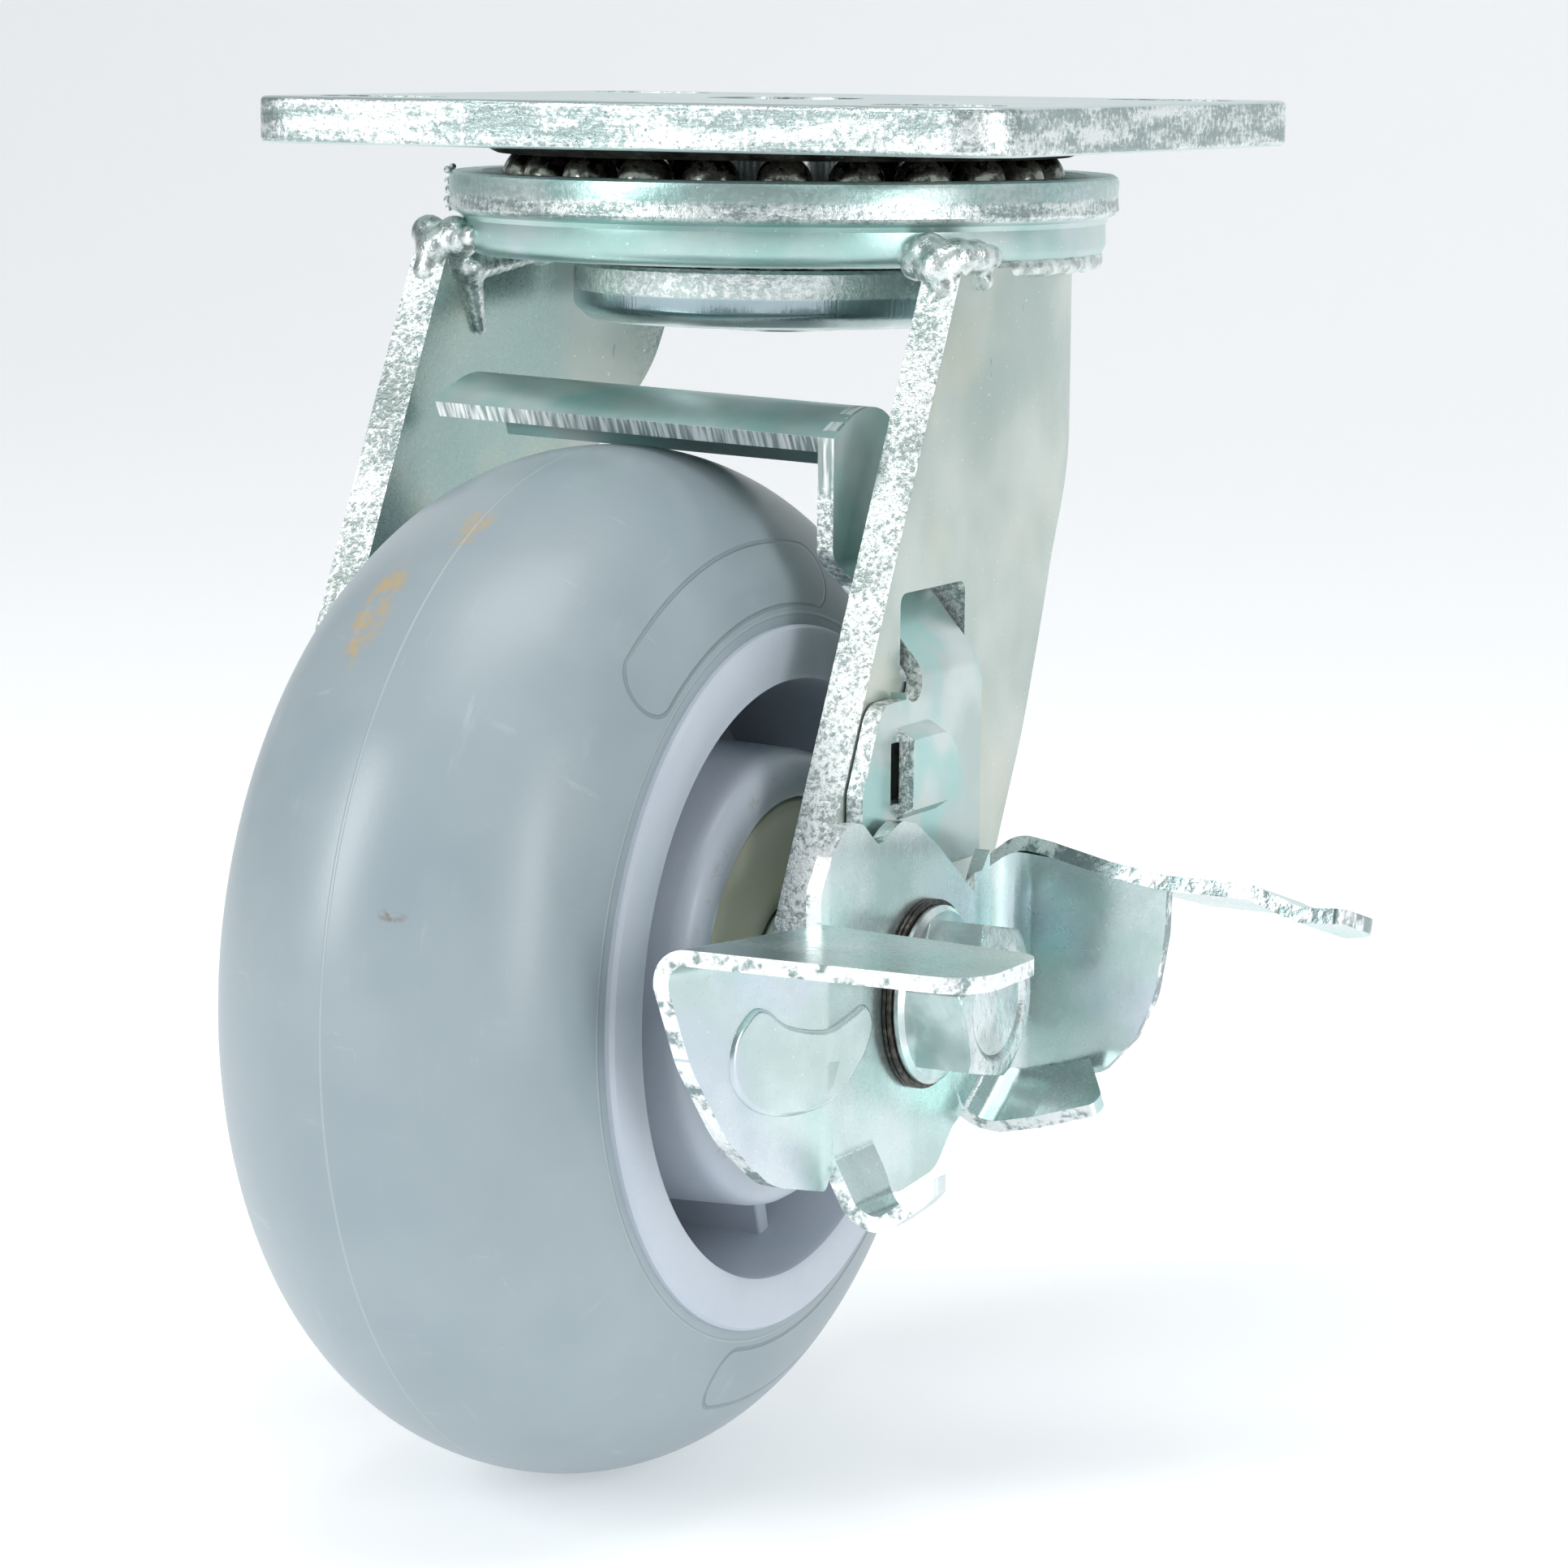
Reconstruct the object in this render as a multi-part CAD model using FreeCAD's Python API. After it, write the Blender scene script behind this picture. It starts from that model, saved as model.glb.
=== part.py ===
"""Gate wheel: a plate caster with a double row of balls in the swivel, a welded fork, a wide
grey wheel on a roller bearing, a brake shoe over the tread and a foot lever that works it.
Units are mm. The origin is the centre of the plate's top face, +X is along the axle towards
the lever, +Z is up, and the wheel trails towards -Y."""
import FreeCAD, Part
import math
import os

os.makedirs("parts", exist_ok=True)
V = FreeCAD.Vector
X_AXIS = V(1, 0, 0)
Y_AXIS = V(0, 1, 0)
Z_AXIS = V(0, 0, 1)

# ---------------------------------------------------------------- driving dimensions
GAP = 0.3                      # free air between parts that turn past each other
PLATE_X, PLATE_Y, PLATE_T = 114.3, 101.6, 6.35
PLATE_CORNER_R = 8.0
SLOT_X, SLOT_Y = 84.0, 76.0    # slot centres
SLOT_W, SLOT_LEN = 10.4, 18.4

RACE_R, RACE_BOTTOM = 40.2, -7.7
BALL_R, BALL_PITCH_R, BALL_Z, BALL_COUNT = 3.9, 35.6, -10.9, 23
LOW_BALL_R, LOW_PITCH_R, LOW_BALL_Z, LOW_BALL_COUNT = 2.9, 22.5, -22.6, 22
RIM_R, RIM_TOP, RIM_BOTTOM = 46.7, -10.2, -15.8
DRUM_R, DRUM_BOTTOM = 45.0, -21.6
FLOOR_TOP = -17.6
DISC_R, DISC_TOP, DISC_BOTTOM = 29.3, -22.6, -30.6
PIN_R, PIN_HEAD_R = 8.0, 11.0

AXLE_Y, AXLE_Z = -51.0, -113.4
WHEEL_R = 68.6
LEG_IN, LEG_OUT = 36.5, 42.0
LEG_BEND_Y = -4.0              # behind this line the legs curve round under the drum

AXLE_R = 6.35
BORE_R = 15.1                  # bore of the wheel core

BAR_T = 2.3                    # brake bar sheet
BAR_IN = LEG_OUT + GAP         # inner face of the bar's outer plate
LEVER_T = 2.0
LEVER_IN = 45.6


# ---------------------------------------------------------------- small helpers
def save(shape, name):
    shape = shape.removeSplitter()
    shape.exportStep("parts/%s.step" % name)
    print(name, "valid", shape.isValid(), "solids", len(shape.Solids), "mm3", round(shape.Volume))


def cyl_z(r, z0, z1, x=0.0, y=0.0):
    return Part.makeCylinder(r, z1 - z0, V(x, y, z0), Z_AXIS)


def cyl_x(r, x0, x1, y=AXLE_Y, z=AXLE_Z):
    return Part.makeCylinder(r, x1 - x0, V(x0, y, z), X_AXIS)


def cyl_y(r, y0, y1, x, z):
    return Part.makeCylinder(r, y1 - y0, V(x, y0, z), Y_AXIS)


def box(x0, x1, y0, y1, z0, z1):
    return Part.makeBox(x1 - x0, y1 - y0, z1 - z0, V(x0, y0, z0))


def rounded(points, radii):
    """A closed wire through the points, each corner rounded by its own radius (0 keeps it sharp)."""
    edges = []
    n = len(points)
    starts, ends, mids = [], [], []
    for i in range(n):
        p, a, b = points[i], points[i - 1], points[(i + 1) % n]
        u, w = (a - p).normalize(), (b - p).normalize()
        r = radii[i]
        if r <= 0:
            starts.append(p)
            ends.append(p)
            mids.append(None)
            continue
        half = math.acos(max(-1.0, min(1.0, u.dot(w)))) / 2
        reach = r / math.tan(half)
        centre = p + (u + w).normalize() * (r / math.sin(half))
        starts.append(p + u * reach)
        ends.append(p + w * reach)
        mids.append(centre + (p - centre).normalize() * r)
    for i in range(n):
        if mids[i] is not None:
            edges.append(Part.Arc(starts[i], mids[i], ends[i]).toShape())
        j = (i + 1) % n
        if (starts[j] - ends[i]).Length > 1e-6:
            edges.append(Part.makeLine(ends[i], starts[j]))
    return Part.Wire(edges)


def slab_x(yz, radii, x0, x1):
    """A flat sheet standing across X with a rounded outline given as (y, z)."""
    wire = rounded([V(x0, y, z) for y, z in yz], radii)
    return Part.Face(wire).extrude(V(x1 - x0, 0, 0))


def slab_y(xz, radii, y0, y1):
    wire = rounded([V(x, y0, z) for x, z in xz], radii)
    return Part.Face(wire).extrude(V(0, y1 - y0, 0))


def slab_z(xy, radii, z0, z1):
    wire = rounded([V(x, y, z0) for x, y in xy], radii)
    return Part.Face(wire).extrude(V(0, 0, z1 - z0))


def lathe_z(rz):
    """A solid turned about the swivel axis from (radius, z) points."""
    face = Part.Face(Part.makePolygon([V(r, 0, z) for r, z in rz + rz[:1]]))
    return face.revolve(V(0, 0, 0), Z_AXIS, 360)


def lathe_x(xr):
    """A solid turned about the axle from (x, radius) points."""
    pts = [V(x, AXLE_Y, AXLE_Z + r) for x, r in xr + xr[:1]]
    return Part.Face(Part.makePolygon(pts)).revolve(V(0, AXLE_Y, AXLE_Z), X_AXIS, 360)


def ring_of(shape, count, axis_point, axis):
    out = []
    for i in range(count):
        s = shape.copy()
        s.rotate(axis_point, axis, 360.0 * i / count)
        out.append(s)
    return out


def thick_path(mid, t, y0, y1, r_mid):
    """Bent sheet: a mid-line of (x, z) points given a thickness and drawn along Y."""
    left, right = [], []
    for i, (x, z) in enumerate(mid):
        p = V(x, 0, z)
        dirs = []
        if i > 0:
            dirs.append((p - V(mid[i - 1][0], 0, mid[i - 1][1])).normalize())
        if i < len(mid) - 1:
            dirs.append((V(mid[i + 1][0], 0, mid[i + 1][1]) - p).normalize())
        norms = [V(-d.z, 0, d.x) for d in dirs]
        n = norms[0] if len(norms) == 1 else (norms[0] + norms[1]).normalize()
        k = t / 2 / n.dot(norms[0])
        left.append(p + n * k)
        right.append(p - n * k)
    radii_l, radii_r = [0.0], [0.0]
    for i in range(1, len(mid) - 1):
        a, p, b = [V(mid[j][0], 0, mid[j][1]) for j in (i - 1, i, i + 1)]
        turn = (p - a).cross(b - p).y      # which side the bend is on
        inner, outer = r_mid - t / 2, r_mid + t / 2
        radii_l.append(inner if turn < 0 else outer)
        radii_r.append(outer if turn < 0 else inner)
    radii_l.append(0.0)
    radii_r.append(0.0)
    pts = [V(q.x, y0, q.z) for q in left + right[::-1]]
    wire = rounded(pts, radii_l + radii_r[::-1])
    return Part.Face(wire).extrude(V(0, y1 - y0, 0))


# ---------------------------------------------------------------- top plate and swivel
def top_plate():
    hx, hy = PLATE_X / 2, PLATE_Y / 2
    corners = [(-hx, -hy), (hx, -hy), (hx, hy), (-hx, hy)]
    plate = slab_z(corners, [PLATE_CORNER_R] * 4, -PLATE_T, 0.0)
    for sx in (-1, 1):
        for sy in (-1, 1):
            x, y = sx * SLOT_X / 2, sy * SLOT_Y / 2
            half = (SLOT_LEN - SLOT_W) / 2
            slot = box(x - half, x + half, y - SLOT_W / 2, y + SLOT_W / 2, -PLATE_T, 0.0)
            slot = slot.fuse(cyl_z(SLOT_W / 2, -PLATE_T, 0.0, x - half, y))
            slot = slot.fuse(cyl_z(SLOT_W / 2, -PLATE_T, 0.0, x + half, y))
            plate = plate.cut(slot.removeSplitter())
    plate = plate.cut(cyl_z(PIN_HEAD_R, -2.9, 0.0))
    plate = plate.cut(cyl_z(PIN_R, -PLATE_T, -2.9))
    bottom_edges = []
    for e in plate.Edges:
        b = e.BoundBox
        outside = max(abs(b.XMax), abs(b.XMin)) > hx - 9 and max(abs(b.YMax), abs(b.YMin)) > hy - 9
        if b.ZMax < -PLATE_T + 0.01 and outside and e.Length > 10:
            bottom_edges.append(e)
    return plate.makeChamfer(0.8, bottom_edges)


def upper_race():
    ring = lathe_z([(31.0, -PLATE_T), (43.2, -PLATE_T), (RACE_R, RACE_BOTTOM), (31.0, RACE_BOTTOM)])
    groove = Part.makeTorus(BALL_PITCH_R, BALL_R + GAP, V(0, 0, BALL_Z), Z_AXIS)
    return ring.cut(groove)


def kingpin():
    head = cyl_z(PIN_HEAD_R, -2.9, -0.4)
    shaft = cyl_z(PIN_R, DISC_BOTTOM - 1.2, -2.9)
    low = DISC_BOTTOM - 1.4
    peen = lathe_z([(0.0, DISC_BOTTOM), (10.0, DISC_BOTTOM), (8.4, low), (0.0, low)])
    return head.fuse([shaft, peen])


def lower_race_disc():
    b, t = DISC_BOTTOM, DISC_TOP
    disc = lathe_z([(PIN_R, t), (DISC_R, t), (DISC_R, b + 2.2), (DISC_R - 2.2, b), (PIN_R, b)])
    return disc.cut(Part.makeTorus(LOW_PITCH_R, LOW_BALL_R + GAP, V(0, 0, LOW_BALL_Z), Z_AXIS))


def ball_set(r, pitch_r, z, count):
    ball = Part.makeSphere(r, V(pitch_r, 0, z))
    return Part.makeCompound(ring_of(ball, count, V(0, 0, 0), Z_AXIS))


# ---------------------------------------------------------------- fork
def yoke_base():
    cup = lathe_z([
        (PIN_R + 0.5, FLOOR_TOP), (29.5, FLOOR_TOP), (30.5, -12.8), (41.0, -12.8), (41.8, RIM_TOP),
        (RIM_R, RIM_TOP), (RIM_R, RIM_BOTTOM), (DRUM_R, RIM_BOTTOM - 0.6), (DRUM_R, DRUM_BOTTOM + 1.4),
        (DRUM_R - 1.4, DRUM_BOTTOM), (PIN_R + 0.5, DRUM_BOTTOM)])
    cup = cup.cut(Part.makeTorus(BALL_PITCH_R, BALL_R + GAP, V(0, 0, BALL_Z), Z_AXIS))
    return cup.cut(Part.makeTorus(LOW_PITCH_R, LOW_BALL_R + GAP, V(0, 0, LOW_BALL_Z), Z_AXIS))


LEG_OUTLINE = [
    (-30.4, DRUM_BOTTOM), (-76.4, -111.8), (-75.5, -131.0), (-36.0, -131.5), (-22.0, -109.0),
    (-9.0, -84.6), (0.6, -60.0), (16.4, -40.5), (21.5, DRUM_BOTTOM)]
LEG_RADII = [0, 9, 16, 16, 30, 60, 30, 20, 0]
WINDOW = [(-47.4, -62.3), (-28.0, -62.3), (-28.0, -73.8), (-47.4, -73.8)]


def leg_plan(half):
    """Everything between the legs' faces, seen from above: straight in front, round behind."""
    low = -140.0
    front = box(-half, half, -90.0, LEG_BEND_Y, low, DRUM_BOTTOM)
    return front.fuse(cyl_z(half, low, DRUM_BOTTOM, 0.0, LEG_BEND_Y))


def leg(side):
    x0, x1 = (20.0, LEG_OUT) if side > 0 else (-LEG_OUT, -20.0)
    blank = slab_x(LEG_OUTLINE, LEG_RADII, x0, x1)
    blank = blank.common(leg_plan(LEG_OUT)).cut(leg_plan(LEG_IN))
    return blank.cut(cyl_x(AXLE_R, x0, x1)).removeSplitter()


def near_leg():
    return leg(1).cut(slab_x(WINDOW, [1.5] * 4, LEG_IN, LEG_OUT))


def bead(side):
    """Weld run along the foot of the drum on one leg: joined lumps, with a bigger one in front."""
    run = cyl_y(1.7, -29.0, 9.0, side * LEG_IN, DRUM_BOTTOM)
    lumps = [
        Part.makeSphere(4.4, V(side * 38.4, -29.0, DRUM_BOTTOM - 0.4)),
        Part.makeSphere(3.4, V(side * LEG_IN, -27.5, DRUM_BOTTOM + 2.0))]
    for i in range(8):
        swell = 2.3 + 0.35 * math.sin(i * 2.1)
        lumps.append(Part.makeSphere(swell, V(side * LEG_IN, -24.0 + i * 4.6, DRUM_BOTTOM)))
    other = near_leg() if side > 0 else leg(-1)
    run = run.fuse(lumps).cut(other).cut(yoke_base())
    run = run.cut(cyl_z(DISC_R + 0.8, -40.0, DRUM_BOTTOM))
    return max(run.Solids, key=lambda s: s.Volume)


# ---------------------------------------------------------------- axle
def hexagon(af, x0, x1):
    r = af / math.sqrt(3.0)
    pts = []
    for i in range(6):
        a = math.radians(60 * i + 12)
        pts.append(V(x0, AXLE_Y + r * math.cos(a), AXLE_Z + r * math.sin(a)))
    return Part.Face(Part.makePolygon(pts + pts[:1])).extrude(V(x1 - x0, 0, 0))


def axle_bolt():
    shank = cyl_x(AXLE_R, -56.0, 48.9)
    flange = lathe_x([(48.9, 0.0), (48.9, 11.6), (49.7, 11.6), (50.4, 10.6), (50.4, 0.0)])
    cone = lathe_x([(50.0, 0.0), (50.0, 11.2), (57.6, 11.2), (58.6, 9.4), (58.6, 0.0)])
    head = hexagon(19.0, 50.0, 58.6).common(cone).cut(cyl_x(7.4, 58.0, 58.6))
    return shank.fuse([flange, head])


def axle_nut():
    cone = lathe_x([(-44.0, 0.0), (-44.0, 11.2), (-51.0, 11.2), (-52.0, 9.4), (-52.0, 0.0)])
    nut = hexagon(19.0, -52.0, -44.0).common(cone)
    collar = cyl_x(8.6, -54.6, -51.8)
    return nut.fuse(collar).cut(cyl_x(AXLE_R, -55.0, -44.0))


def ring_x(r_in, r_out, x0, x1):
    return cyl_x(r_out, x0, x1).cut(cyl_x(r_in, x0, x1))


# ---------------------------------------------------------------- wheel
CORE_R, CORE_MID_R, TYRE_HALF, TYRE_ROUND_R = 46.4, 50.0, 26.7, 45.1


def tyre():
    rise = WHEEL_R - TYRE_ROUND_R
    pts = []
    for i in range(41):
        a = math.radians(3.2) + (math.pi - 2 * math.radians(3.2)) * i / 40
        pts.append(V(TYRE_HALF * math.cos(a), AXLE_Y, AXLE_Z + TYRE_ROUND_R + rise * math.sin(a)))
    curve = Part.BSplineCurve()
    curve.interpolate(pts)
    x_end = pts[0].x
    inner = [
        (-x_end, CORE_R), (-17.0, CORE_R), (-15.0, CORE_MID_R), (15.0, CORE_MID_R), (17.0, CORE_R),
        (x_end, CORE_R)]
    line = [pts[-1]] + [V(x, AXLE_Y, AXLE_Z + r) for x, r in inner] + [pts[0]]
    wire = Part.Wire([curve.toShape()] + list(Part.makePolygon(line).Edges))
    return Part.Face(wire).revolve(V(0, AXLE_Y, AXLE_Z), X_AXIS, 360)


def wheel_core():
    half = [
        (24.6, BORE_R), (24.6, 24.0), (28.6, 24.0), (29.0, 26.4), (28.3, 29.0), (26.5, 30.1), (3.0, 30.9),
        (3.0, 38.9), (28.2, 39.2), (28.5, 40.2), (28.1, 45.9), (27.5, CORE_R), (17.0, CORE_R),
        (15.0, CORE_MID_R)]
    profile = half + [(-x, r) for x, r in half[::-1]]
    core = lathe_x(profile)
    ribs = []
    for side in (-1, 1):
        x0, x1 = (2.5, 19.0) if side > 0 else (-19.0, -2.5)
        rib = box(x0, x1, AXLE_Y - 1.3, AXLE_Y + 1.3, AXLE_Z + 29.6, AXLE_Z + 39.6)
        rib.rotate(V(0, AXLE_Y, AXLE_Z), X_AXIS, 17)
        ribs += ring_of(rib, 4, V(0, AXLE_Y, AXLE_Z), X_AXIS)
    return core.fuse(ribs)


def retainer(side):
    pts = [
        (20.8, 10.0), (28.3, 10.0), (28.3, 23.4), (27.8, 23.9), (24.6, 23.9), (24.6, 15.0), (20.8, 15.0)]
    return lathe_x([(side * x, r) for x, r in pts])


BEARING_IN_R, BEARING_PITCH_R, NEEDLE_R, NEEDLE_COUNT = 9.5, 12.3, 2.4, 12


def rollers():
    one = cyl_x(NEEDLE_R, -16.5, 16.5, AXLE_Y + BEARING_PITCH_R, AXLE_Z)
    return Part.makeCompound(ring_of(one, NEEDLE_COUNT, V(0, AXLE_Y, AXLE_Z), X_AXIS))


def cage():
    rings = [ring_x(10.8, 14.0, -19.4, -16.9), ring_x(10.8, 14.0, 16.9, 19.4)]
    bar = box(-17.0, 17.0, AXLE_Y + 11.6, AXLE_Y + 13.0, AXLE_Z - 0.4, AXLE_Z + 0.4)
    bar.rotate(V(0, AXLE_Y, AXLE_Z), X_AXIS, 180.0 / NEEDLE_COUNT)
    return rings[0].fuse([rings[1]] + ring_of(bar, NEEDLE_COUNT, V(0, AXLE_Y, AXLE_Z), X_AXIS))


# ---------------------------------------------------------------- brake bar
SHOE_X0, SHOE_X1 = -26.4, 33.4
SHOE_TILT = math.degrees(math.atan2(2.2, 58.0))
SHOE_SECTION = [
    (-50.0, -40.2), (-47.0, -38.6), (-43.5, -37.4), (-39.5, -36.8), (-35.6, -37.5), (-31.9, -39.9),
    (-29.8, -42.4), (-28.6, -44.9)]
ARM_X = 32.3
ARM_OUT = ARM_X + BAR_T / 2
BAR_X = BAR_IN + BAR_T / 2


def brake_bar():
    section = [V(SHOE_X0, y, z) for y, z in SHOE_SECTION]
    under = []
    for i, p in enumerate(section):
        a, b = section[max(i - 1, 0)], section[min(i + 1, len(section) - 1)]
        d = (b - a).normalize()
        under.append(p + V(0, d.z, -d.y) * BAR_T)
    top, low = Part.BSplineCurve(), Part.BSplineCurve()
    top.interpolate(section)
    low.interpolate(under[::-1])
    wire = Part.Wire([
        top.toShape(), Part.makeLine(section[-1], under[-1]), low.toShape(),
        Part.makeLine(under[0], section[0])])
    shoe = Part.Face(wire).extrude(V(SHOE_X1 - SHOE_X0 + 4, 0, 0))
    shoe.rotate(V(SHOE_X0, 0, -40.0), Y_AXIS, SHOE_TILT)
    # everything below the shoe's outer skin, used to trim the arm's top
    deep = [V(SHOE_X0, section[0].y, -130.0), V(SHOE_X0, section[-1].y, -130.0)]
    below = Part.Wire([
        top.toShape(), Part.makeLine(section[-1], deep[1]), Part.makeLine(deep[1], deep[0]),
        Part.makeLine(deep[0], section[0])])
    below = Part.Face(below).extrude(V(SHOE_X1 - SHOE_X0 + 4, 0, 0))
    below.rotate(V(SHOE_X0, 0, -40.0), Y_AXIS, SHOE_TILT)
    arm = box(ARM_OUT - BAR_T, ARM_OUT, -50.0, -28.6, -57.0, -30.0).common(below)
    trim = slab_y([(-40, -30), (ARM_OUT, -30), (ARM_OUT, -120), (-40, -120)], [0, 5.0, 0, 0], -70, 0)
    crest = -36.0 - 60.0 * math.tan(math.radians(SHOE_TILT))
    corner = slab_y([(-40, crest), (ARM_OUT, crest), (ARM_OUT, -120), (-40, -120)], [0, 4.5, 0, 0],
                    -70, 0)
    shoe = shoe.common(trim).common(corner.fuse(box(-40, 24, -70, 0, -60, -30)))
    path = [(ARM_X, -52.0), (ARM_X, -59.5), (BAR_X, -72.2), (BAR_X, -98.8)]
    strip = thick_path(path, BAR_T, -66.0, -20.0, 3.0)
    outline = slab_x(
        [(-50.0, -50.0), (-28.6, -50.0), (-28.6, -57.5), (-29.2, -61.5), (-29.2, -73.4), (-27.9, -74.8),
         (-27.9, -98.8), (-62.8, -98.8), (-63.0, -86.4), (-57.6, -75.4), (-50.6, -75.4), (-50.6, -73.2),
         (-46.2, -73.2), (-46.2, -61.5), (-50.0, -57.5)],
        [0, 0, 2, 2, 0, 1.5, 0, 0, 3, 4, 0, 0, 1.5, 2, 2], 20.0, 50.0)
    strip = strip.common(outline).cut(cyl_x(2.4, 40.0, 50.0, -48.4, -73.6))
    return shoe.fuse([arm, strip.cut(box(0, 60, -60, 0, -56.9, -40))]).removeSplitter()


def bump():
    """Lanced dome on the bar's outer plate, open towards the front."""
    def outline(x, grow):
        top, low = -78.6 + grow, -90.9 - grow
        pts = [(-53.2, top), (-43.0, top), (-36.4 + grow, -85.0), (-40.0 + grow, low), (-53.2, low)]
        return rounded([V(x, y, z) for y, z in pts], [0.5, 4.5, 4.5, 3.0, 0.5])
    outer = Part.makeLoft([outline(BAR_IN + BAR_T - 0.2, 0.0), outline(47.0, -1.6)], True)
    hollow = [(-55.0, -80.6), (-43.4, -80.6), (-40.6, -84.6), (-42.4, -88.6), (-55.0, -88.6)]
    return outer, slab_x(hollow, [0.0, 2.0, 2.0, 1.5, 0.0], BAR_IN - 0.1, 44.9)


def whole_bar():
    outer, hollow = bump()
    bar = brake_bar().fuse(outer).cut(hollow)
    return max(bar.Solids, key=lambda s: s.Volume)


# ---------------------------------------------------------------- brake lever
def rel(points):
    return [(AXLE_Y + dy, AXLE_Z + dz) for dy, dz in points]


def lever_path(x_y, t):
    """Sheet bent in plan: mid-line (x, dy) points drawn upwards."""
    mid = [(x, AXLE_Y + dy) for x, dy in x_y]
    flat = thick_path(mid, t, AXLE_Z - 26.0, AXLE_Z + 28.0, 6.5)
    # the helper draws (x, z) along Y; turn it so that it is (x, y) along Z
    flat.rotate(V(0, 0, 0), X_AXIS, 90)
    return flat.mirror(V(0, 0, 0), Y_AXIS)


def brake_lever():
    mid_x = LEVER_IN + LEVER_T / 2
    sheet = lever_path([(38.4, -55.0), (mid_x, -27.5), (mid_x, 23.0), (72.0, 24.0)], LEVER_T)
    cam_line = [
        (-25.8, 12.6), (-25.6, 23.2), (-19.8, 26.2), (-10.4, 19.6), (-5.2, 24.0), (15.7, 11.4),
        (19.0, 15.6), (19.0, -15.4), (9.5, -19.6), (4.5, -23.4), (-12.0, -23.4), (-14.0, -17.6),
        (-25.6, -17.6), (-27.2, -20.4), (-37.6, -17.4), (-48.0, -5.0), (-54.0, 9.0), (-54.0, 14.0),
        (-27.0, 13.4)]
    cam_radii = [0, 5, 3.5, 1.0, 2.5, 2.0, 0, 0, 3, 3, 2, 1, 1, 1, 6, 14, 3, 1, 0]
    cam = slab_x(rel(cam_line), cam_radii, 30.0, 52.6)
    wall_line = [(46.0, -16.0), (63.4, -15.4), (71.6, 9.0), (71.6, 13.6), (50.0, 15.6), (46.0, 12.0)]
    wall_line = [(x, AXLE_Z + dz) for x, dz in wall_line]
    wall = slab_y(wall_line, [0, 5, 3, 0, 3, 0], AXLE_Y + 15.4, AXLE_Y + 30.0)
    body = sheet.common(cam.fuse(wall))
    shelf_line = [(39.6, -54.0), (80.6, -54.0), (80.6, -35.6), (44.6, -35.6)]
    shelf_line = [(x, AXLE_Y + dy) for x, dy in shelf_line]
    shelf = slab_z(shelf_line, [0.5, 6.0, 4.0, 0.5], AXLE_Z + 12.0, AXLE_Z + 14.0)
    pedal_line = [(48.4, 22.4), (96.4, 22.4), (96.4, 40.0), (51.0, 38.0)]
    pedal_line = [(x, AXLE_Y + dy) for x, dy in pedal_line]
    pedal = slab_z(pedal_line, [2.0, 5.0, 7.0, 5.0], AXLE_Z + 14.9, AXLE_Z + 16.9)
    hinge = V(48.4, AXLE_Y + 22.4, AXLE_Z + 16.9)
    pedal.rotate(hinge, X_AXIS, -16.0)
    pedal.rotate(hinge, Y_AXIS, 5.4)
    lip_mid = [(mid_x + 0.4, AXLE_Z - 15.0), (50.2, AXLE_Z - 19.6), (68.0, AXLE_Z - 15.0)]
    low_lip = thick_path(lip_mid, LEVER_T, AXLE_Y + 9.6, AXLE_Y + 24.0, 3.0)
    tab_mid = [
        (mid_x, AXLE_Z - 12.0), (mid_x, AXLE_Z - 20.0), (50.6, AXLE_Z - 25.8), (62.0, AXLE_Z - 19.4)]
    tab = thick_path(tab_mid, 1.8, AXLE_Y - 25.4, AXLE_Y - 14.2, 2.6)
    lever = body.fuse([shelf, pedal, low_lip, tab])
    return lever.cut(cyl_x(AXLE_R + 0.35, 40.0, 60.0))


# ---------------------------------------------------------------- write every piece
save(top_plate(), "top_plate")
save(upper_race(), "upper_race")
save(kingpin(), "kingpin")
save(lower_race_disc(), "lower_race_disc")
save(ball_set(BALL_R, BALL_PITCH_R, BALL_Z, BALL_COUNT), "upper_ball_set")
save(ball_set(LOW_BALL_R, LOW_PITCH_R, LOW_BALL_Z, LOW_BALL_COUNT), "lower_ball_set")
save(yoke_base(), "yoke_base")
save(near_leg(), "near_leg")
save(leg(-1), "far_leg")
save(bead(1), "near_weld")
save(bead(-1), "far_weld")
save(axle_bolt(), "axle_bolt")
save(axle_nut(), "axle_nut")
save(ring_x(AXLE_R, 12.0, -44.0, -LEG_OUT), "nut_washer")
save(ring_x(AXLE_R, 11.5, LEG_OUT, LEVER_IN - 0.2), "cam_spacer")
washers = [ring_x(AXLE_R, 12.3, 47.8, 48.3), ring_x(AXLE_R, 12.3, 48.4, 48.9)]
save(Part.makeCompound(washers), "spring_washers")
save(ring_x(AXLE_R, BEARING_IN_R, -LEG_IN, LEG_IN), "spanner_bushing")
spacers = [ring_x(BEARING_IN_R, 11.0, 28.8, LEG_IN), ring_x(BEARING_IN_R, 11.0, -LEG_IN, -28.8)]
save(Part.makeCompound(spacers), "side_spacers")
save(tyre(), "tyre")
save(wheel_core(), "wheel_core")
save(retainer(1), "near_bearing_cap")
save(retainer(-1), "far_bearing_cap")
save(rollers(), "bearing_rollers")
save(cage(), "roller_cage")
save(whole_bar(), "brake_bar")
save(brake_lever(), "brake_lever")
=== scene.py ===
# %% [markdown]
# # A gate wheel
# This file dresses a plate caster: a zinc-plated steel fork that swivels on two rows of balls,
# a wide grey wheel, and a brake shoe over the tread that a foot lever works. The measured model
# is loaded first and stays where it is. Each visible piece is then modelled over it at the same
# size, so the bearings, legs and lever still turn about the same places.

# %% Load the measured model
import math
import bpy
import bmesh
from mathutils import Matrix, Vector
from mathutils.bvhtree import BVHTree


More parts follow.
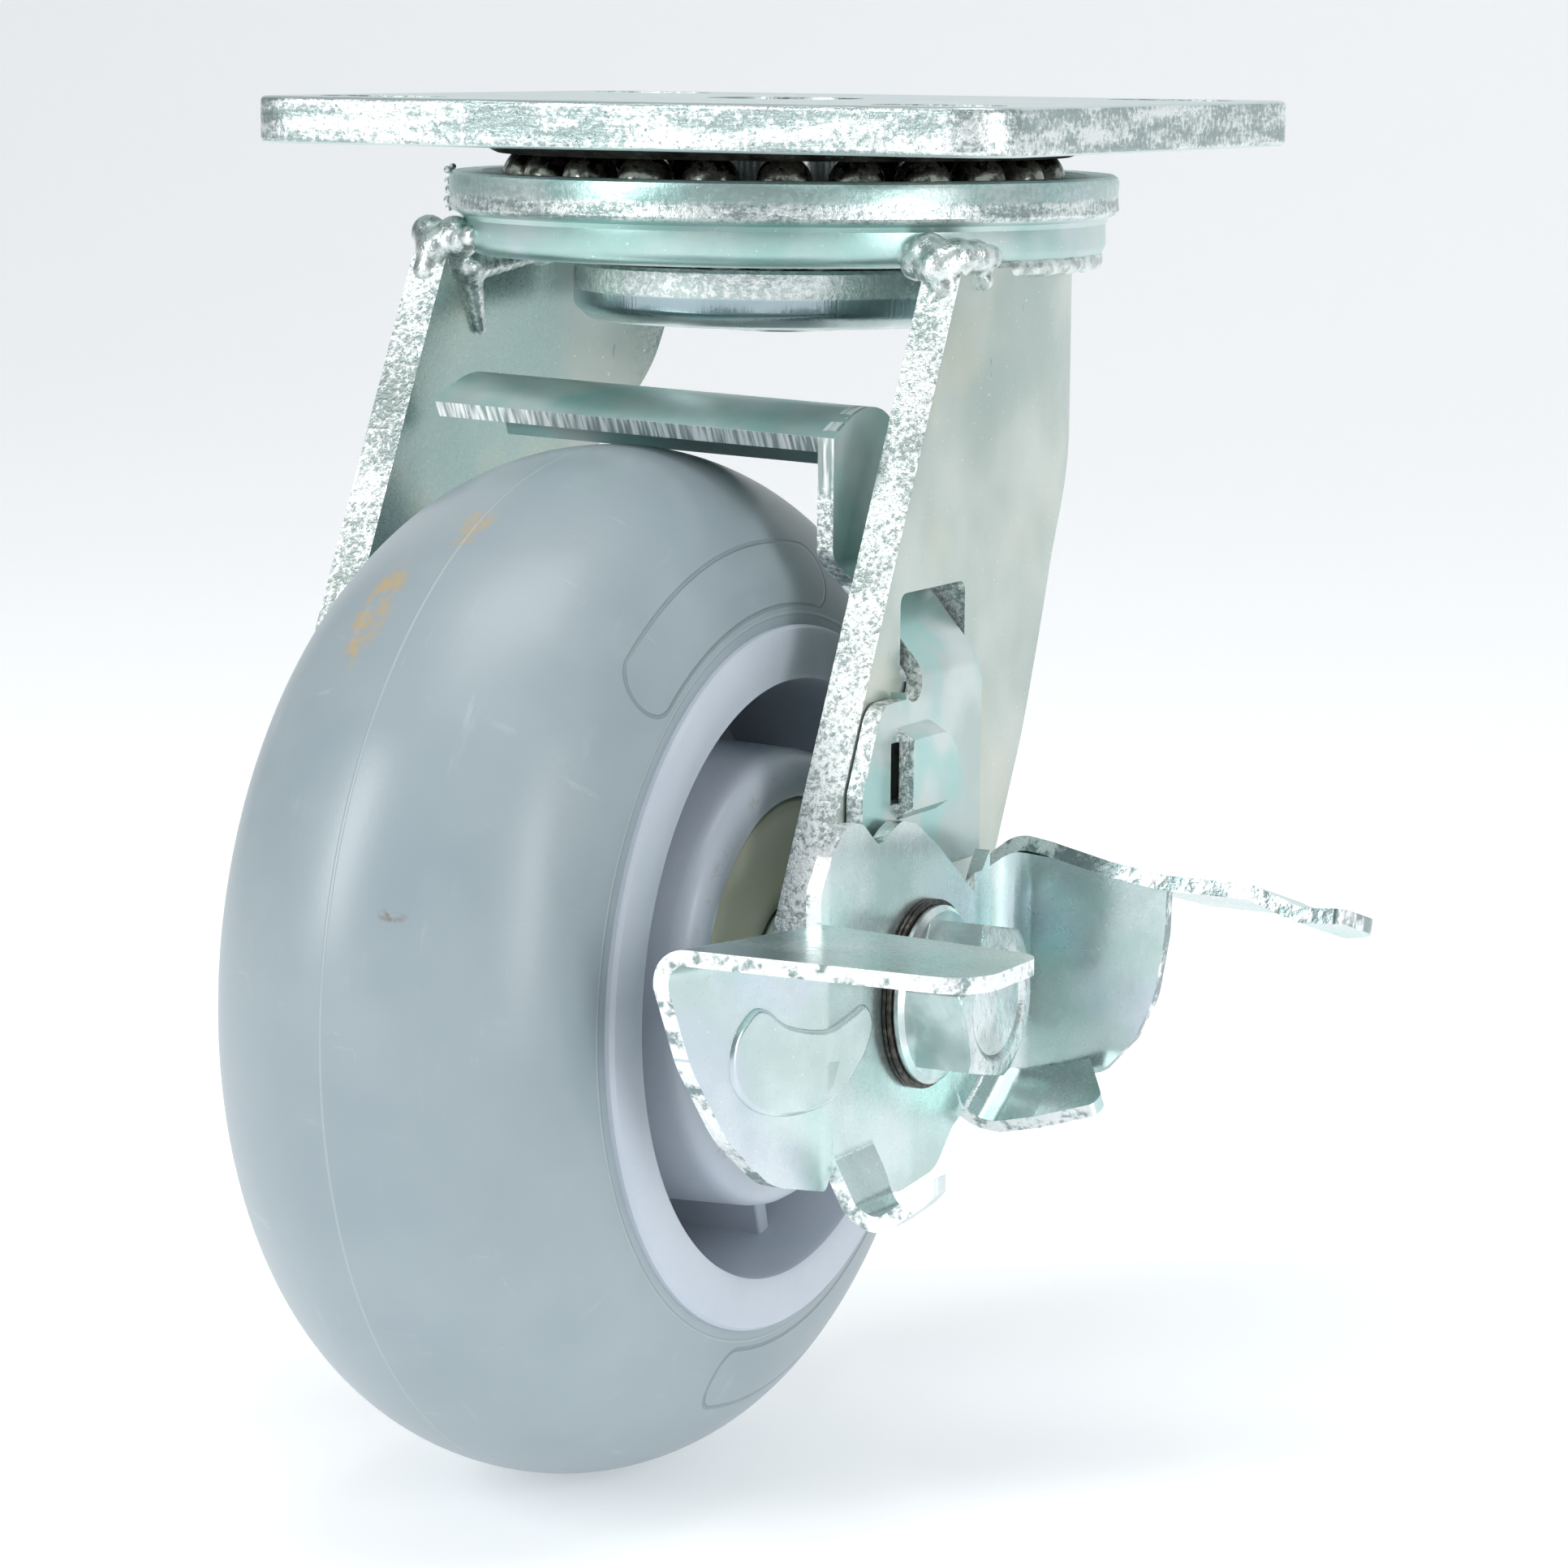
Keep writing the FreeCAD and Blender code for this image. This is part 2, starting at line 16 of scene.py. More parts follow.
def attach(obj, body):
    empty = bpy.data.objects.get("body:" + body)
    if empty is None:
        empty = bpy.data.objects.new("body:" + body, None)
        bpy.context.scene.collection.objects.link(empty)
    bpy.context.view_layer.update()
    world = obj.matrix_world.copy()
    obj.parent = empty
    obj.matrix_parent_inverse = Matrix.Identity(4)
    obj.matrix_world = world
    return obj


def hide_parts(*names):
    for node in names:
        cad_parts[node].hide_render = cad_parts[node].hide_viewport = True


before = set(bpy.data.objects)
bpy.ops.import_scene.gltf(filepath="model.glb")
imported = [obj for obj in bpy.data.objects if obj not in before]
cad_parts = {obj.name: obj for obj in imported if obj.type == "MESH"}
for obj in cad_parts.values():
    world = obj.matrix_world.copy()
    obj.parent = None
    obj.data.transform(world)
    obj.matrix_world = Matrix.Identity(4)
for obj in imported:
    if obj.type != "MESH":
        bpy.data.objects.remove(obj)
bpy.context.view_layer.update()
mm = 0.001

# %% The places that everything is measured from
axle_y = -51.0
axle_z = -113.4
floor_z = -182.0
axle = Vector((0, axle_y, axle_z)) * mm
plate_thick = 6.35
leg_in, leg_out = 36.5, 42.0
lever_in, lever_thick = 45.6, 2.0
print("axle at", [round(v / mm, 1) for v in axle], "mm")

# %% [markdown]
# ## Working habits
# A lathe turns a profile about an axis, and most of a caster is turned: the wheel, races, caps
# and washers. So the first helper draws a profile as a chain of edges by extruding one vertex
# from point to point, and then spins it. The second helper draws a flat outline the same way,
# rounds its corners by bevelling vertices, and extrudes it to the sheet's thickness. Both leave
# an object in object mode, with its normals pointing outwards.

# %% Small helpers for starting and finishing a piece
def clear_selection():
    if bpy.context.object and bpy.context.object.mode != "OBJECT":
        bpy.ops.object.mode_set(mode="OBJECT")
    bpy.ops.object.select_all(action="DESELECT")


def only(ob):
    clear_selection()
    ob.select_set(True)
    bpy.context.view_layer.objects.active = ob


def start_vertex(name, place):
    """A new object in edit mode with a single vertex at the place, in mm."""
    clear_selection()
    bpy.ops.mesh.primitive_plane_add(size=0.001, location=(0, 0, 0))
    ob = bpy.context.object
    ob.name = name
    bpy.ops.object.mode_set(mode="EDIT")
    bpy.ops.mesh.select_all(action="SELECT")
    bpy.ops.mesh.merge(type="CENTER")
    bpy.ops.transform.translate(value=Vector(place) * mm)
    return ob


def draw_chain(name, points, closed=True):
    """A chain of edges through the points, extruded one step at a time."""
    ob = start_vertex(name, points[0])
    for a, b in zip(points, points[1:]):
        step = (Vector(b) - Vector(a)) * mm
        bpy.ops.mesh.extrude_region_move(TRANSFORM_OT_translate={"value": step})
    if closed:
        bm = bmesh.from_edit_mesh(ob.data)
        bm.verts.ensure_lookup_table()
        for v in bm.verts:
            v.select = v.index in (0, len(bm.verts) - 1)
        bm.select_flush_mode()
        bmesh.update_edit_mesh(ob.data)
        bpy.ops.mesh.edge_face_add()
    bpy.ops.mesh.select_all(action="SELECT")
    return ob


def tidy(ob, angle=35.0):
    """Merge doubles, point the faces outwards and shade smooth up to the angle."""
    only(ob)
    bpy.ops.object.mode_set(mode="EDIT")
    bpy.ops.mesh.select_all(action="SELECT")
    bpy.ops.mesh.remove_doubles(threshold=0.00001)
    bpy.ops.mesh.normals_make_consistent(inside=False)
    bpy.ops.object.mode_set(mode="OBJECT")
    bpy.ops.object.shade_smooth_by_angle(angle=math.radians(angle))
    return ob


def lathe(name, profile, axis="X", steps=128, angle=35.0):
    """Turn (along, radius) points in mm about the axle (X) or the swivel (Z)."""
    if axis == "X":
        points = [(a, axle_y, axle_z + r) for a, r in profile]
        centre, direction = axle, (1, 0, 0)
    else:
        points = [(r, 0, a) for a, r in profile]
        centre, direction = Vector((0, 0, 0)), (0, 0, 1)
    ob = draw_chain(name, points)
    bpy.ops.mesh.spin(steps=steps, angle=2 * math.pi, center=centre, axis=direction)
    return tidy(ob, angle)


def flatten(ob):
    """Weight the shading by area, so that a flat face looks flat."""
    only(ob)
    mod = ob.modifiers.new("flat faces stay flat", "WEIGHTED_NORMAL")
    mod.keep_sharp = True
    bpy.ops.object.modifier_apply(modifier=mod.name)


def soften(ob, width, segments=2, limit=40.0):
    """Round the piece's sharp edges with a bevel."""
    only(ob)
    mod = ob.modifiers.new("soft edges", "BEVEL")
    mod.width = width * mm
    mod.segments = segments
    mod.limit_method = "ANGLE"
    mod.angle_limit = math.radians(limit)
    mod.use_clamp_overlap = True
    mod.harden_normals = False
    bpy.ops.object.modifier_apply(modifier=mod.name)
    bpy.ops.object.shade_smooth_by_angle(angle=math.radians(limit))
    flatten(ob)
    return ob


def cut(ob, tool, operation="DIFFERENCE"):
    """Carve the tool out of the piece, or join or keep what they share."""
    only(ob)
    mod = ob.modifiers.new("cut", "BOOLEAN")
    mod.operation = operation
    mod.solver = "EXACT"
    mod.object = tool
    bpy.ops.object.modifier_apply(modifier=mod.name)
    bpy.data.objects.remove(tool, do_unlink=True)
    return ob


def join(first, *others):
    clear_selection()
    for ob in others:
        ob.select_set(True)
    first.select_set(True)
    bpy.context.view_layer.objects.active = first
    bpy.ops.object.join()
    return first


def report(ob):
    size = [round(v / mm, 1) for v in ob.dimensions]
    print(ob.name, "size mm", size, "faces", len(ob.data.polygons))


# %% A flat sheet with rounded corners
def round_outline(points, radii, steps=6):
    """Replace each corner by a short run of points on an arc of its radius."""
    out = []
    n = len(points)
    for i in range(n):
        p = Vector(points[i])
        a, b = Vector(points[i - 1]), Vector(points[(i + 1) % n])
        r = radii[i] if isinstance(radii, (list, tuple)) else radii
        if r <= 0:
            out.append(p)
            continue
        u, w = (a - p).normalized(), (b - p).normalized()
        half = math.acos(max(-1.0, min(1.0, u.dot(w)))) / 2
        reach = min(r / math.tan(half), 0.48 * (a - p).length, 0.48 * (b - p).length)
        r_used = reach * math.tan(half)
        centre = p + (u + w).normalized() * (r_used / math.sin(half))
        start, end = p + u * reach - centre, p + w * reach - centre
        turn = start.angle_signed(end) if start.length > 0 and end.length > 0 else 0
        for k in range(steps + 1):
            t = k / steps
            c, s = math.cos(-turn * t), math.sin(-turn * t)
            out.append(centre + Vector((start.x * c - start.y * s, start.x * s + start.y * c)))
    return out


def sheet(name, outline, low, high, across="X"):
    """Fill an outline of (u, v) points and extrude it from low to high, in mm."""
    if across == "X":
        points = [(low, p[0], p[1]) for p in outline]
        step = (high - low, 0, 0)
    elif across == "Y":
        points = [(p[0], low, p[1]) for p in outline]
        step = (0, high - low, 0)
    else:
        points = [(p[0], p[1], low) for p in outline]
        step = (0, 0, high - low)
    ob = draw_chain(name, points)
    bpy.ops.mesh.edge_face_add()
    bpy.ops.mesh.extrude_region_move(TRANSFORM_OT_translate={"value": Vector(step) * mm})
    return tidy(ob)


def rod(name, radius, low, high, y=axle_y, z=axle_z, sides=48):
    """A round tool or pin lying along X."""
    clear_selection()
    bpy.ops.mesh.primitive_cylinder_add(vertices=sides, radius=radius * mm, depth=(high - low) * mm,
                                        location=Vector(((low + high) / 2, y, z)) * mm,
                                        rotation=(0, math.pi / 2, 0))
    ob = bpy.context.object
    ob.name = name
    bpy.ops.object.transform_apply(location=True, rotation=True, scale=True)
    return ob


def bent_strip(name, mid, thick, low, high, radius, across="Y", steps=6):
    """A bent strip of sheet: a mid-line given its thickness and drawn from low to high."""
    left, right, r_left, r_right = [], [], [], []
    for i in range(len(mid)):
        p = Vector(mid[i])
        runs = []
        if i > 0:
            runs.append((p - Vector(mid[i - 1])).normalized())
        if i < len(mid) - 1:
            runs.append((Vector(mid[i + 1]) - p).normalized())
        norms = [Vector((-d.y, d.x)) for d in runs]
        n = norms[0] if len(norms) == 1 else (norms[0] + norms[1]).normalized()
        k = thick / 2 / n.dot(norms[0])
        left.append(p + n * k)
        right.append(p - n * k)
        if len(runs) == 2:
            turns_left = runs[0].x * runs[1].y - runs[0].y * runs[1].x > 0
            r_left.append(radius - thick / 2 if turns_left else radius + thick / 2)
            r_right.append(radius + thick / 2 if turns_left else radius - thick / 2)
        else:
            r_left.append(0)
            r_right.append(0)
    outline = round_outline(left + right[::-1], r_left + r_right[::-1], steps)
    return sheet(name, outline, low, high, across)


print("helpers ready")

# %% [markdown]
# ## Camera, floor and light
# The camera stands a little above the middle of the wheel, in front of the lever side, with a
# long lens so the plate hardly converges. The floor sweeps up behind into a backdrop, so there
# is no horizon line for the bright zinc to reflect. Three large soft lamps give the zinc a pale
# side, a darker side and one crisp edge; with a single even light it would look like paint.

# %% The camera
def camera_at(place, yaw, pitch, roll, lens):
    yaw, pitch, roll = math.radians(yaw), math.radians(pitch), math.radians(roll)
    ahead = Vector((math.sin(yaw) * math.cos(pitch), math.cos(yaw) * math.cos(pitch), math.sin(pitch)))
    right = Vector((math.cos(yaw), -math.sin(yaw), 0))
    up = right.cross(ahead)
    side = right * math.cos(roll) + up * math.sin(roll)
    top = up * math.cos(roll) - right * math.sin(roll)
    clear_selection()
    bpy.ops.object.camera_add(location=place)
    cam = bpy.context.object
    turn = Matrix((side, top, -ahead)).transposed().to_4x4()
    cam.matrix_world = Matrix.Translation(Vector(place)) @ turn
    cam.data.lens = lens
    cam.data.sensor_width = 36
    cam.data.clip_start = 0.01
    bpy.context.scene.camera = cam
    return cam


camera = camera_at((0.31406, -0.60586, 0.00933), -27.34, -8.83, 0.50, 111.39)
print("camera", [round(v, 3) for v in camera.location])


# %% Floor and backdrop in one sheet
def floor_sheet():
    ob = start_vertex("floor", (-3000, -2500, floor_z))
    bpy.ops.mesh.extrude_region_move(TRANSFORM_OT_translate={"value": (0, 3.6, 0)})
    for i in range(12):
        a, b = math.pi / 2 * i / 12, math.pi / 2 * (i + 1) / 12
        step = (0, 0.9 * (math.sin(b) - math.sin(a)), 0.9 * (math.cos(a) - math.cos(b)))
        bpy.ops.mesh.extrude_region_move(TRANSFORM_OT_translate={"value": step})
    bpy.ops.mesh.extrude_region_move(TRANSFORM_OT_translate={"value": (0, 0, 2.0)})
    bpy.ops.mesh.select_all(action="SELECT")
    bpy.ops.mesh.extrude_region_move(TRANSFORM_OT_translate={"value": (6, 0, 0)})
    return tidy(ob, 60)


floor = floor_sheet()
floor_white = bpy.data.materials.new("studio_white")
floor_white.use_nodes = True
paper = floor_white.node_tree.nodes["Principled BSDF"].inputs
paper["Base Color"].default_value = (0.90, 0.91, 0.92, 1)
paper["Roughness"].default_value = 0.7
paper["Emission Color"].default_value = (0.97, 0.99, 1.0, 1)
paper["Emission Strength"].default_value = 0.34
floor.data.materials.append(floor_white)
print("floor at", floor_z, "mm")


# %% Lamps and sky
def lamp(name, place, aim, width, height, watts, tint=(1, 1, 1)):
    clear_selection()
    bpy.ops.object.light_add(type="AREA", location=place)
    ob = bpy.context.object
    ob.name = name
    ob.data.shape = "RECTANGLE"
    ob.data.size = width
    ob.data.size_y = height
    ob.data.energy = watts
    ob.data.color = tint
    ob.rotation_euler = (Vector(aim) - Vector(place)).to_track_quat("-Z", "Y").to_euler()
    return ob


middle = (0, -0.03, -0.09)
lamp("key_left", (-0.60, -1.00, 0.45), middle, 0.30, 0.75, 7.0)
lamp("fill_right", (1.15, -0.45, 0.20), middle, 0.35, 0.8, 5.0)
lamp("top", (0.1, -0.15, 1.1), middle, 0.8, 0.6, 6.0)

sky = bpy.data.worlds.new("studio")
bpy.context.scene.world = sky
sky.use_nodes = True
sky.node_tree.nodes["Background"].inputs["Color"].default_value = (0.93, 0.97, 1.0, 1)
sky.node_tree.nodes["Background"].inputs["Strength"].default_value = 0.33
bpy.context.scene.view_settings.view_transform = "Standard"

# %% [markdown]
# ## Writing finishes as sums
# A finish is a network of nodes, and a network reads best as a formula. The small class below
# wraps one socket, so that `1 - mask` or `noise * 0.2 + 0.3` adds the Math nodes that do it. The
# board holds one material. Its places are in millimetres on the piece itself, so a scratch or a
# grain has its real size and turns with the piece.

# %% The socket that can do sums
class Value:
    def __init__(self, board, socket):
        self.board = board
        self.socket = socket

    def sum(self, operation, other, swap=False):
        pair = (other, self) if swap else (self, other)
        return self.board.node("ShaderNodeMath", {"operation": operation}, {0: pair[0], 1: pair[1]})

    def __add__(self, other):
        return self.sum("ADD", other)

    def __radd__(self, other):
        return self.sum("ADD", other, True)

    def __sub__(self, other):
        return self.sum("SUBTRACT", other)

    def __rsub__(self, other):
        return self.sum("SUBTRACT", other, True)

    def __mul__(self, other):
        return self.sum("MULTIPLY", other)

    def __rmul__(self, other):
        return self.sum("MULTIPLY", other, True)

    def __truediv__(self, other):
        return self.sum("DIVIDE", other)

    def __rtruediv__(self, other):
        return self.sum("DIVIDE", other, True)


# %% The board that holds one finish
class Board:
    def __init__(self, name):
        self.material = bpy.data.materials.new(name)
        self.material.use_nodes = True
        self.tree = self.material.node_tree
        self.shader = self.tree.nodes["Principled BSDF"]
        spot = self.node("ShaderNodeTexCoord", {}, {}, "Object")
        self.facing = self.node("ShaderNodeTexCoord", {}, {}, "Normal")
        self.place = self.node("ShaderNodeVectorMath", {"operation": "SCALE"}, {0: spot, "Scale": 1000.0}, "Vector")

    def node(self, kind, settings, sockets, out=0):
        """Add any node: its settings first, then its inputs, then hand back one output."""
        made = self.tree.nodes.new(kind)
        for key, value in settings.items():
            if key == "stops":
                ramp = made.color_ramp
                while len(ramp.elements) < len(value):
                    ramp.elements.new(1.0)
                for element, (at, colour) in zip(ramp.elements, value):
                    element.position = at
                    element.color = (*colour, 1)
            else:
                setattr(made, key, value)
        for key, value in sockets.items():
            if isinstance(value, Value):
                self.tree.links.new(value.socket, made.inputs[key])
            elif isinstance(value, tuple) and len(value) == 3 and made.inputs[key].type == "RGBA":
                made.inputs[key].default_value = (*value, 1)
            else:
                made.inputs[key].default_value = value
        return Value(self, made.outputs[out])

    def parts(self, vector):
        return [self.node("ShaderNodeSeparateXYZ", {}, {0: vector}, i) for i in range(3)]

    def stretch(self, x, y, z, vector=None):
        return self.node("ShaderNodeVectorMath", {"operation": "MULTIPLY"}, {0: vector or self.place, 1: (x, y, z)}, 0)

    def noise(self, scale, detail=3.0, rough=0.5, vector=None, shift=0.0):
        """Soft noise from 0 to 1; the scale is in lumps per millimetre."""
        at = vector or self.place
        if shift:
            at = self.node("ShaderNodeVectorMath", {"operation": "ADD"}, {0: at, 1: (shift, shift * 0.7, -shift)}, 0)
        return self.node("ShaderNodeTexNoise", {}, {"Vector": at, "Scale": scale, "Detail": detail, "Roughness": rough})

    def band(self, value, low, high, smooth=True):
        """0 below low and 1 above high; swap them to turn it round."""
        kind = "SMOOTHSTEP" if smooth else "LINEAR"
        flip = low > high
        if flip:
            low, high = high, low
        sockets = {"Value": value, "From Min": low, "From Max": high, "To Min": float(flip), "To Max": float(not flip)}
        return self.node("ShaderNodeMapRange", {"interpolation_type": kind, "clamp": True}, sockets)

    def one(self, operation, value, other=0.5, third=0.5):
        return self.node("ShaderNodeMath", {"operation": operation}, {0: value, 1: other, 2: third})

    def mix(self, mask, under, over):
        """Colour under where the mask is 0 and over where it is 1."""
        settings = {"data_type": "RGBA"}
        return self.node("ShaderNodeMix", settings, {"Factor": mask, 6: under, 7: over}, 2)

    def bump(self, height, depth, after=None):
        """Push the surface out by height times depth in millimetres."""
        sockets = {"Strength": 1.0, "Distance": depth * mm, "Height": height}
        if after is not None:
            sockets["Normal"] = after
        return self.node("ShaderNodeBump", {}, sockets)

    def finish(self, **sockets):
        names = {"colour": "Base Color", "rough": "Roughness", "metal": "Metallic", "normal": "Normal"}
        names.update({"coat": "Coat Weight", "coat_rough": "Coat Roughness"})
        for key, value in sockets.items():
            socket = self.shader.inputs[names[key]]
            if isinstance(value, Value):
                self.tree.links.new(value.socket, socket)
            elif isinstance(value, tuple):
                socket.default_value = (*value, 1)
            else:
                socket.default_value = value
        print("finish", self.material.name, "nodes", len(self.tree.nodes))
        return self.material


def dress(ob, material, body, slot, *nodes):
    """Give a piece its finish, its body and the measured solids it stands for; the slot is not used."""
    ob.data.materials.clear()
    ob.data.materials.append(material)
    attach(ob, body)
    if nodes:
        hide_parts(*nodes)
    report(ob)
    return ob


# %% [markdown]
# ## Bright zinc
# The steel is dipped in clear zinc. It is pale and slightly green-blue, with faint violet and
# cyan tints where the passivate is thicker, pin-prick specks, and a sugary grain wherever the
# sheet was sheared. A plain metal with one grey would miss all of that. So the finish mixes
# three greys by a large noise, lays the tints over them, and is told by a mask where the sheared
# edges are: there it turns whiter, rougher and more grainy.

# %% The zinc finish, with its sheared edges as a mask
def zinc(name, edge=None, pale=0.5, polish=0.34, tint=(0.50, 0.60, 0.58)):
    b = Board(name)
    cloud = b.noise(0.045, 3.0, 0.55)
    fine = b.noise(1.3, 4.0, 0.65, shift=7.0)
    colour = b.mix(b.band(cloud, 0.33, 0.66), tint, (0.60, 0.70, 0.68))
    colour = b.mix(pale, colour, (0.72, 0.79, 0.79))
    violet = b.band(b.noise(0.06, 2.0, 0.5, shift=31.0), 0.54, 0.72) * 0.28
    colour = b.mix(violet, colour, (0.66, 0.63, 0.80))
    cyan = b.band(b.noise(0.05, 2.0, 0.5, shift=63.0), 0.52, 0.70) * 0.35
    colour = b.mix(cyan, colour, (0.42, 0.70, 0.68))
    specks = b.noise(1.7, 2.0, 0.7, shift=11.0)
    colour = b.mix(b.band(specks, 0.66, 0.74) * 0.6, colour, (0.93, 0.96, 0.95))
    colour = b.mix(b.band(specks, 0.32, 0.25) * 0.4, colour, (0.26, 0.33, 0.32))
    rough = polish + (fine - 0.5) * 0.2 + (cloud - 0.5) * 0.16
    height = (fine - 0.5) * 0.9 + (b.noise(0.16, 2.0, 0.5, shift=3.0) - 0.5) * 1.6
    if edge is not None:
        mask = edge(b)
        sugar = b.noise(1.15, 3.0, 0.75, shift=17.0)
        smear = b.noise(1.0, 3.0, 0.6, vector=b.stretch(0.07, 0.07, 0.40), shift=9.0)
        light = b.band(sugar * 0.55 + smear * 0.60, 0.50, 0.66)
        sheared = b.mix(light, (0.30, 0.38, 0.37), (0.88, 0.92, 0.91))
        pits = b.band(b.noise(2.2, 2.0, 0.6, shift=23.0), 0.38, 0.30)
        sheared = b.mix(pits * 0.7, sheared, (0.14, 0.18, 0.18))
        colour = b.mix(mask * 0.9, colour, sheared)
        rough = rough + mask * (sugar - 0.5) * 0.25
        height = height + mask * ((sugar - 0.5) * 7.0 + (smear - 0.5) * 14.0 - pits * 1.5)
    b.finish(colour=colour, rough=rough, metal=0.84, normal=b.bump(height, 0.020))
    return b.material


def across(axis, low=0.75, high=0.45):
    """A mask of the faces that don't look along an axis: a sheet's sheared rim."""
    def mask(b):
        side = b.parts(b.facing)["XYZ".index(axis)]
        return b.band(b.one("ABSOLUTE", side), low, high)
    return mask


def flagged(b):
    """A mask that the piece itself carries, made when it was modelled."""
    return b.node("ShaderNodeAttribute", {"attribute_name": "rim"}, {}, "Fac")


def flag_rim(ob, thickest):
    """Mark every face with more metal behind it than the sheet is thick."""
    bm = bmesh.new()
    bm.from_mesh(ob.data)
    tree = BVHTree.FromBMesh(bm)
    bm.free()
    layer = ob.data.attributes.new("rim", "FLOAT", "FACE")
    ob.data.calc_loop_triangles()
    biggest = {}
    for tri in ob.data.loop_triangles:
        if tri.area > biggest.get(tri.polygon_index, (0, None))[0]:
            biggest[tri.polygon_index] = (tri.area, tri)
    for index, (area, tri) in biggest.items():
        start = Vector(tri.center) - tri.normal * 0.00002
        hit = tree.ray_cast(start, -tri.normal)
        deep = hit[3] is None or hit[3] > thickest * mm
        layer.data[index].value = 1.0 if deep else 0.0
    print(ob.name, "rim faces", sum(1 for d in layer.data if d.value > 0.5))


zinc_plate = zinc("zinc_plate_rolled", across("Z"), 0.35, 0.34)

# %% [markdown]
# ## Mounting plate
# The plate is a thick sheared rectangle with rounded corners and four bolt slots. It is drawn as
# an outline and extruded, the slots are cut with stadium-shaped tools, and one small bevel gives
# every edge the rolled look that a guillotine leaves. The kingpin's head sits in its middle.

# %% Plate with four slots and a seat for the kingpin
hx, hy = 57.15, 50.8
plate_corners = [(-hx, -hy), (hx, -hy), (hx, hy), (-hx, hy)]
plate = sheet("mounting_plate_top", round_outline(plate_corners, 8.0, 8), -plate_thick, 0.0, "Z")
soften(plate, 0.7, 3)
slot_half, slot_w = 9.2, 10.4
for sx in (-1, 1):
    for sy in (-1, 1):
        x, y = 42.0 * sx, 38.0 * sy
        ends = [(x - slot_half, y - slot_w / 2), (x + slot_half, y - slot_w / 2),
                (x + slot_half, y + slot_w / 2), (x - slot_half, y + slot_w / 2)]
        cut(plate, sheet("slot_tool", round_outline(ends, slot_w / 2 - 0.01, 10), -8, 2, "Z"))
clear_selection()
bpy.ops.mesh.primitive_cylinder_add(vertices=64, radius=11 * mm, depth=2.9 * mm, location=(0, 0, -1.45 * mm))
seat = bpy.context.object
seat.scale.z = 1.2
seat.location.z = -1.16 * mm
bpy.ops.object.transform_apply(location=True, rotation=True, scale=True)
cut(plate, seat)
tidy(plate, 40)
flatten(plate)
dress(plate, zinc_plate, "mounting_plate", "zinc_plate", "top_plate")

# %% [markdown]
# ## The swivel
# Under the plate sits a black greased race. It and a deep cup hold the upper ring of balls, and
# a bright disc below the cup holds the lower ring. All are turned parts, so each is one profile
# spun about the swivel. The balls are modelled once as a sphere and copied round the ring.

# %% Races, cup and lower disc
race = lathe("upper_race_ring", [(-6.35, 31.0), (-6.35, 43.2), (-6.9, 41.6), (-7.5, 40.5), (-7.7, 40.0),
                                 (-7.7, 37.9), (-7.0, 36.8), (-6.7, 35.6), (-7.0, 34.4), (-7.7, 33.3),
                                 (-7.7, 31.0)], "Z", 160)
cup = lathe("swivel_cup", [(-17.6, 8.5), (-17.6, 29.5), (-12.8, 30.5), (-14.4, 32.6), (-15.2, 35.6),
                           (-14.4, 38.4), (-12.8, 41.0), (-10.6, 41.6), (-10.2, 42.2), (-10.2, 46.0),
                           (-10.5, 46.5), (-11.2, 46.75), (-13.4, 46.6), (-15.0, 46.75), (-15.6, 46.3),
                           (-16.1, 45.3), (-16.8, 44.9), (-19.6, 45.0), (-20.6, 44.6), (-21.3, 43.8),
                           (-21.6, 42.8), (-21.6, 8.5)], "Z", 192, 28)
disc = lathe("lower_swivel_disc", [(-22.6, 8.0), (-22.6, 19.8), (-24.6, 20.6), (-25.4, 22.5), (-24.6, 24.4),
                                   (-22.6, 25.2), (-22.6, 28.8), (-23.1, 29.3), (-28.2, 29.35), (-28.9, 29.0),
                                   (-30.2, 27.6), (-30.6, 26.8), (-30.6, 8.0)], "Z", 160, 28)


def cup_edge(b):
    """The cup's rim band and its lower grain are sheared; the drum below is smooth."""
    z = b.parts(b.place)[2]
    lower = b.band(z, -12.6, -13.6)
    rim = b.band(z, -15.9, -15.3)
    return rim * (lower * 0.75 + 0.25)


zinc_cup = zinc("zinc_cup", cup_edge, 0.0, 0.36, tint=(0.36, 0.56, 0.53))
dress(cup, zinc_cup, "fork", "zinc_sheet", "yoke_base")


# %% Balls in two rings
def ball_ring(name, radius, ring_r, z, count):
    clear_selection()
    bpy.ops.mesh.primitive_uv_sphere_add(segments=28, ring_count=16, radius=radius * mm,
                                         location=(ring_r * mm, 0, z * mm))
    first = bpy.context.object
    first.name = name
    bpy.ops.object.transform_apply(location=True, rotation=True, scale=True)
    bpy.ops.object.shade_smooth()
    others = []
    for i in range(1, count):
        ball = first.copy()
        ball.data = first.data.copy()
        bpy.context.collection.objects.link(ball)
        ball.data.transform(Matrix.Rotation(2 * math.pi * i / count, 4, "Z"))
        others.append(ball)
    return join(first, *others)


upper_balls = ball_ring("upper_balls_ring", 3.9, 35.6, -10.9, 23)
lower_balls = ball_ring("lower_balls_ring", 2.9, 22.5, -22.6, 22)


# %% Greased black race and oily balls
def greased():
    b = Board("greased_race")
    smear = b.noise(0.35, 4.0, 0.6)
    colour = b.mix(b.band(smear, 0.4, 0.65), (0.018, 0.019, 0.018), (0.085, 0.082, 0.065))
    colour = b.mix(b.band(b.noise(1.6, 3.0, 0.6, shift=5.0), 0.60, 0.68) * 0.5, colour, (0.32, 0.33, 0.29))
    b.finish(colour=colour, rough=smear * 0.35 + 0.25, metal=0.35, normal=b.bump(smear, 0.15))
    return b.material


